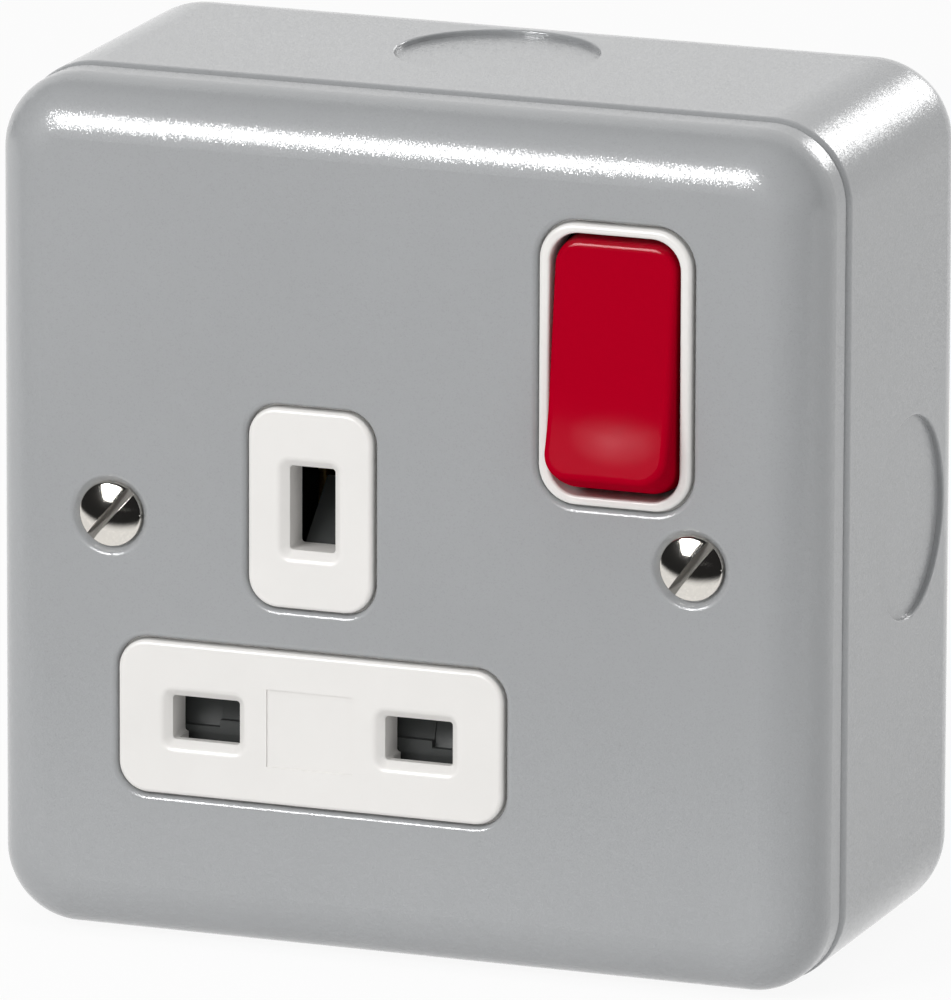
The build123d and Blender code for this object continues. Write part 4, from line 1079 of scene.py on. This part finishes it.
def make_card(card, axes, full, strength):
    """Let a card glow, fading out along its axes if it has any, and show it only in reflections."""
    material = bpy.data.materials.new(card.name)
    material.use_nodes = True
    tree = material.node_tree
    tree.nodes.clear()
    end = tree.nodes.new("ShaderNodeOutputMaterial")
    glow = add_node(tree, "ShaderNodeEmission", {"Color": (1.0, 1.0, 1.0, 1.0), "Strength": strength})
    surface = glow.outputs["Emission"]
    if axes:
        clear = add_node(tree, "ShaderNodeBsdfTransparent")
        blend = add_node(tree, "ShaderNodeMixShader")
        tree.links.new(faded(tree, axes, full), blend.inputs["Fac"])
        tree.links.new(clear.outputs["BSDF"], blend.inputs[1])
        tree.links.new(glow.outputs["Emission"], blend.inputs[2])
        surface = blend.outputs["Shader"]
    tree.links.new(surface, end.inputs["Surface"])
    card.data.materials.append(material)
    card.visible_camera = False
    card.visible_diffuse = False
    card.visible_transmission = False
    card.visible_shadow = False


def make_camera(settings):
    """A long lens, level with the photograph's view."""
    lens = bpy.data.cameras.new("camera")
    lens.sensor_fit = "VERTICAL"
    lens.sensor_height = 36.0
    lens.lens = settings.focal_length
    lens.clip_start = 0.05
    lens.clip_end = 20.0
    camera = bpy.data.objects.new("camera", lens)
    bpy.context.scene.collection.objects.link(camera)
    forward = Vector(settings.target) - Vector(settings.eye)
    turn = forward.to_track_quat("-Z", "Y").to_matrix().to_4x4()
    camera.matrix_world = Matrix.Translation(settings.eye) @ turn @ Matrix.Rotation(settings.roll, 4, "Z")
    bpy.context.scene.camera = camera


class SocketPanel(bpy.types.Panel):
    """Lists the steps that build the socket"""

    bl_idname = "VIEW3D_PT_socket"
    bl_label = "Switched socket"
    bl_space_type = "VIEW_3D"
    bl_region_type = "UI"
    bl_category = "Socket"

    def draw(self, context):
        for step in steps:
            self.layout.operator(step.bl_idname)


steps = (DressNodes, MakeFixingScrews, MakeSmallScrews, MakeSoftenedParts, MakeSprings, SetStage)
classes = (FinishColours, ScrewSizes, StageSettings, *steps, SocketPanel)


def register():
    """Registers the classes and hangs the settings on the scene."""
    for entry in classes:
        bpy.utils.register_class(entry)
    bpy.types.Scene.socket_colours = bpy.props.PointerProperty(type=FinishColours)
    bpy.types.Scene.socket_screws = bpy.props.PointerProperty(type=ScrewSizes)
    bpy.types.Scene.socket_stage = bpy.props.PointerProperty(type=StageSettings)


def unregister():
    """Takes the settings and the classes away again."""
    del bpy.types.Scene.socket_stage
    del bpy.types.Scene.socket_screws
    del bpy.types.Scene.socket_colours
    for entry in reversed(classes):
        bpy.utils.unregister_class(entry)


def main():
    """Builds everything in order."""
    register()
    bpy.ops.object.select_all(action="DESELECT")
    bpy.ops.socket.dress_nodes()
    bpy.ops.socket.make_fixing_screws()
    bpy.ops.socket.make_small_screws()
    bpy.ops.socket.make_softened_parts()
    bpy.ops.socket.make_springs()
    bpy.ops.socket.set_stage()


if __name__ == "__main__":
    main()
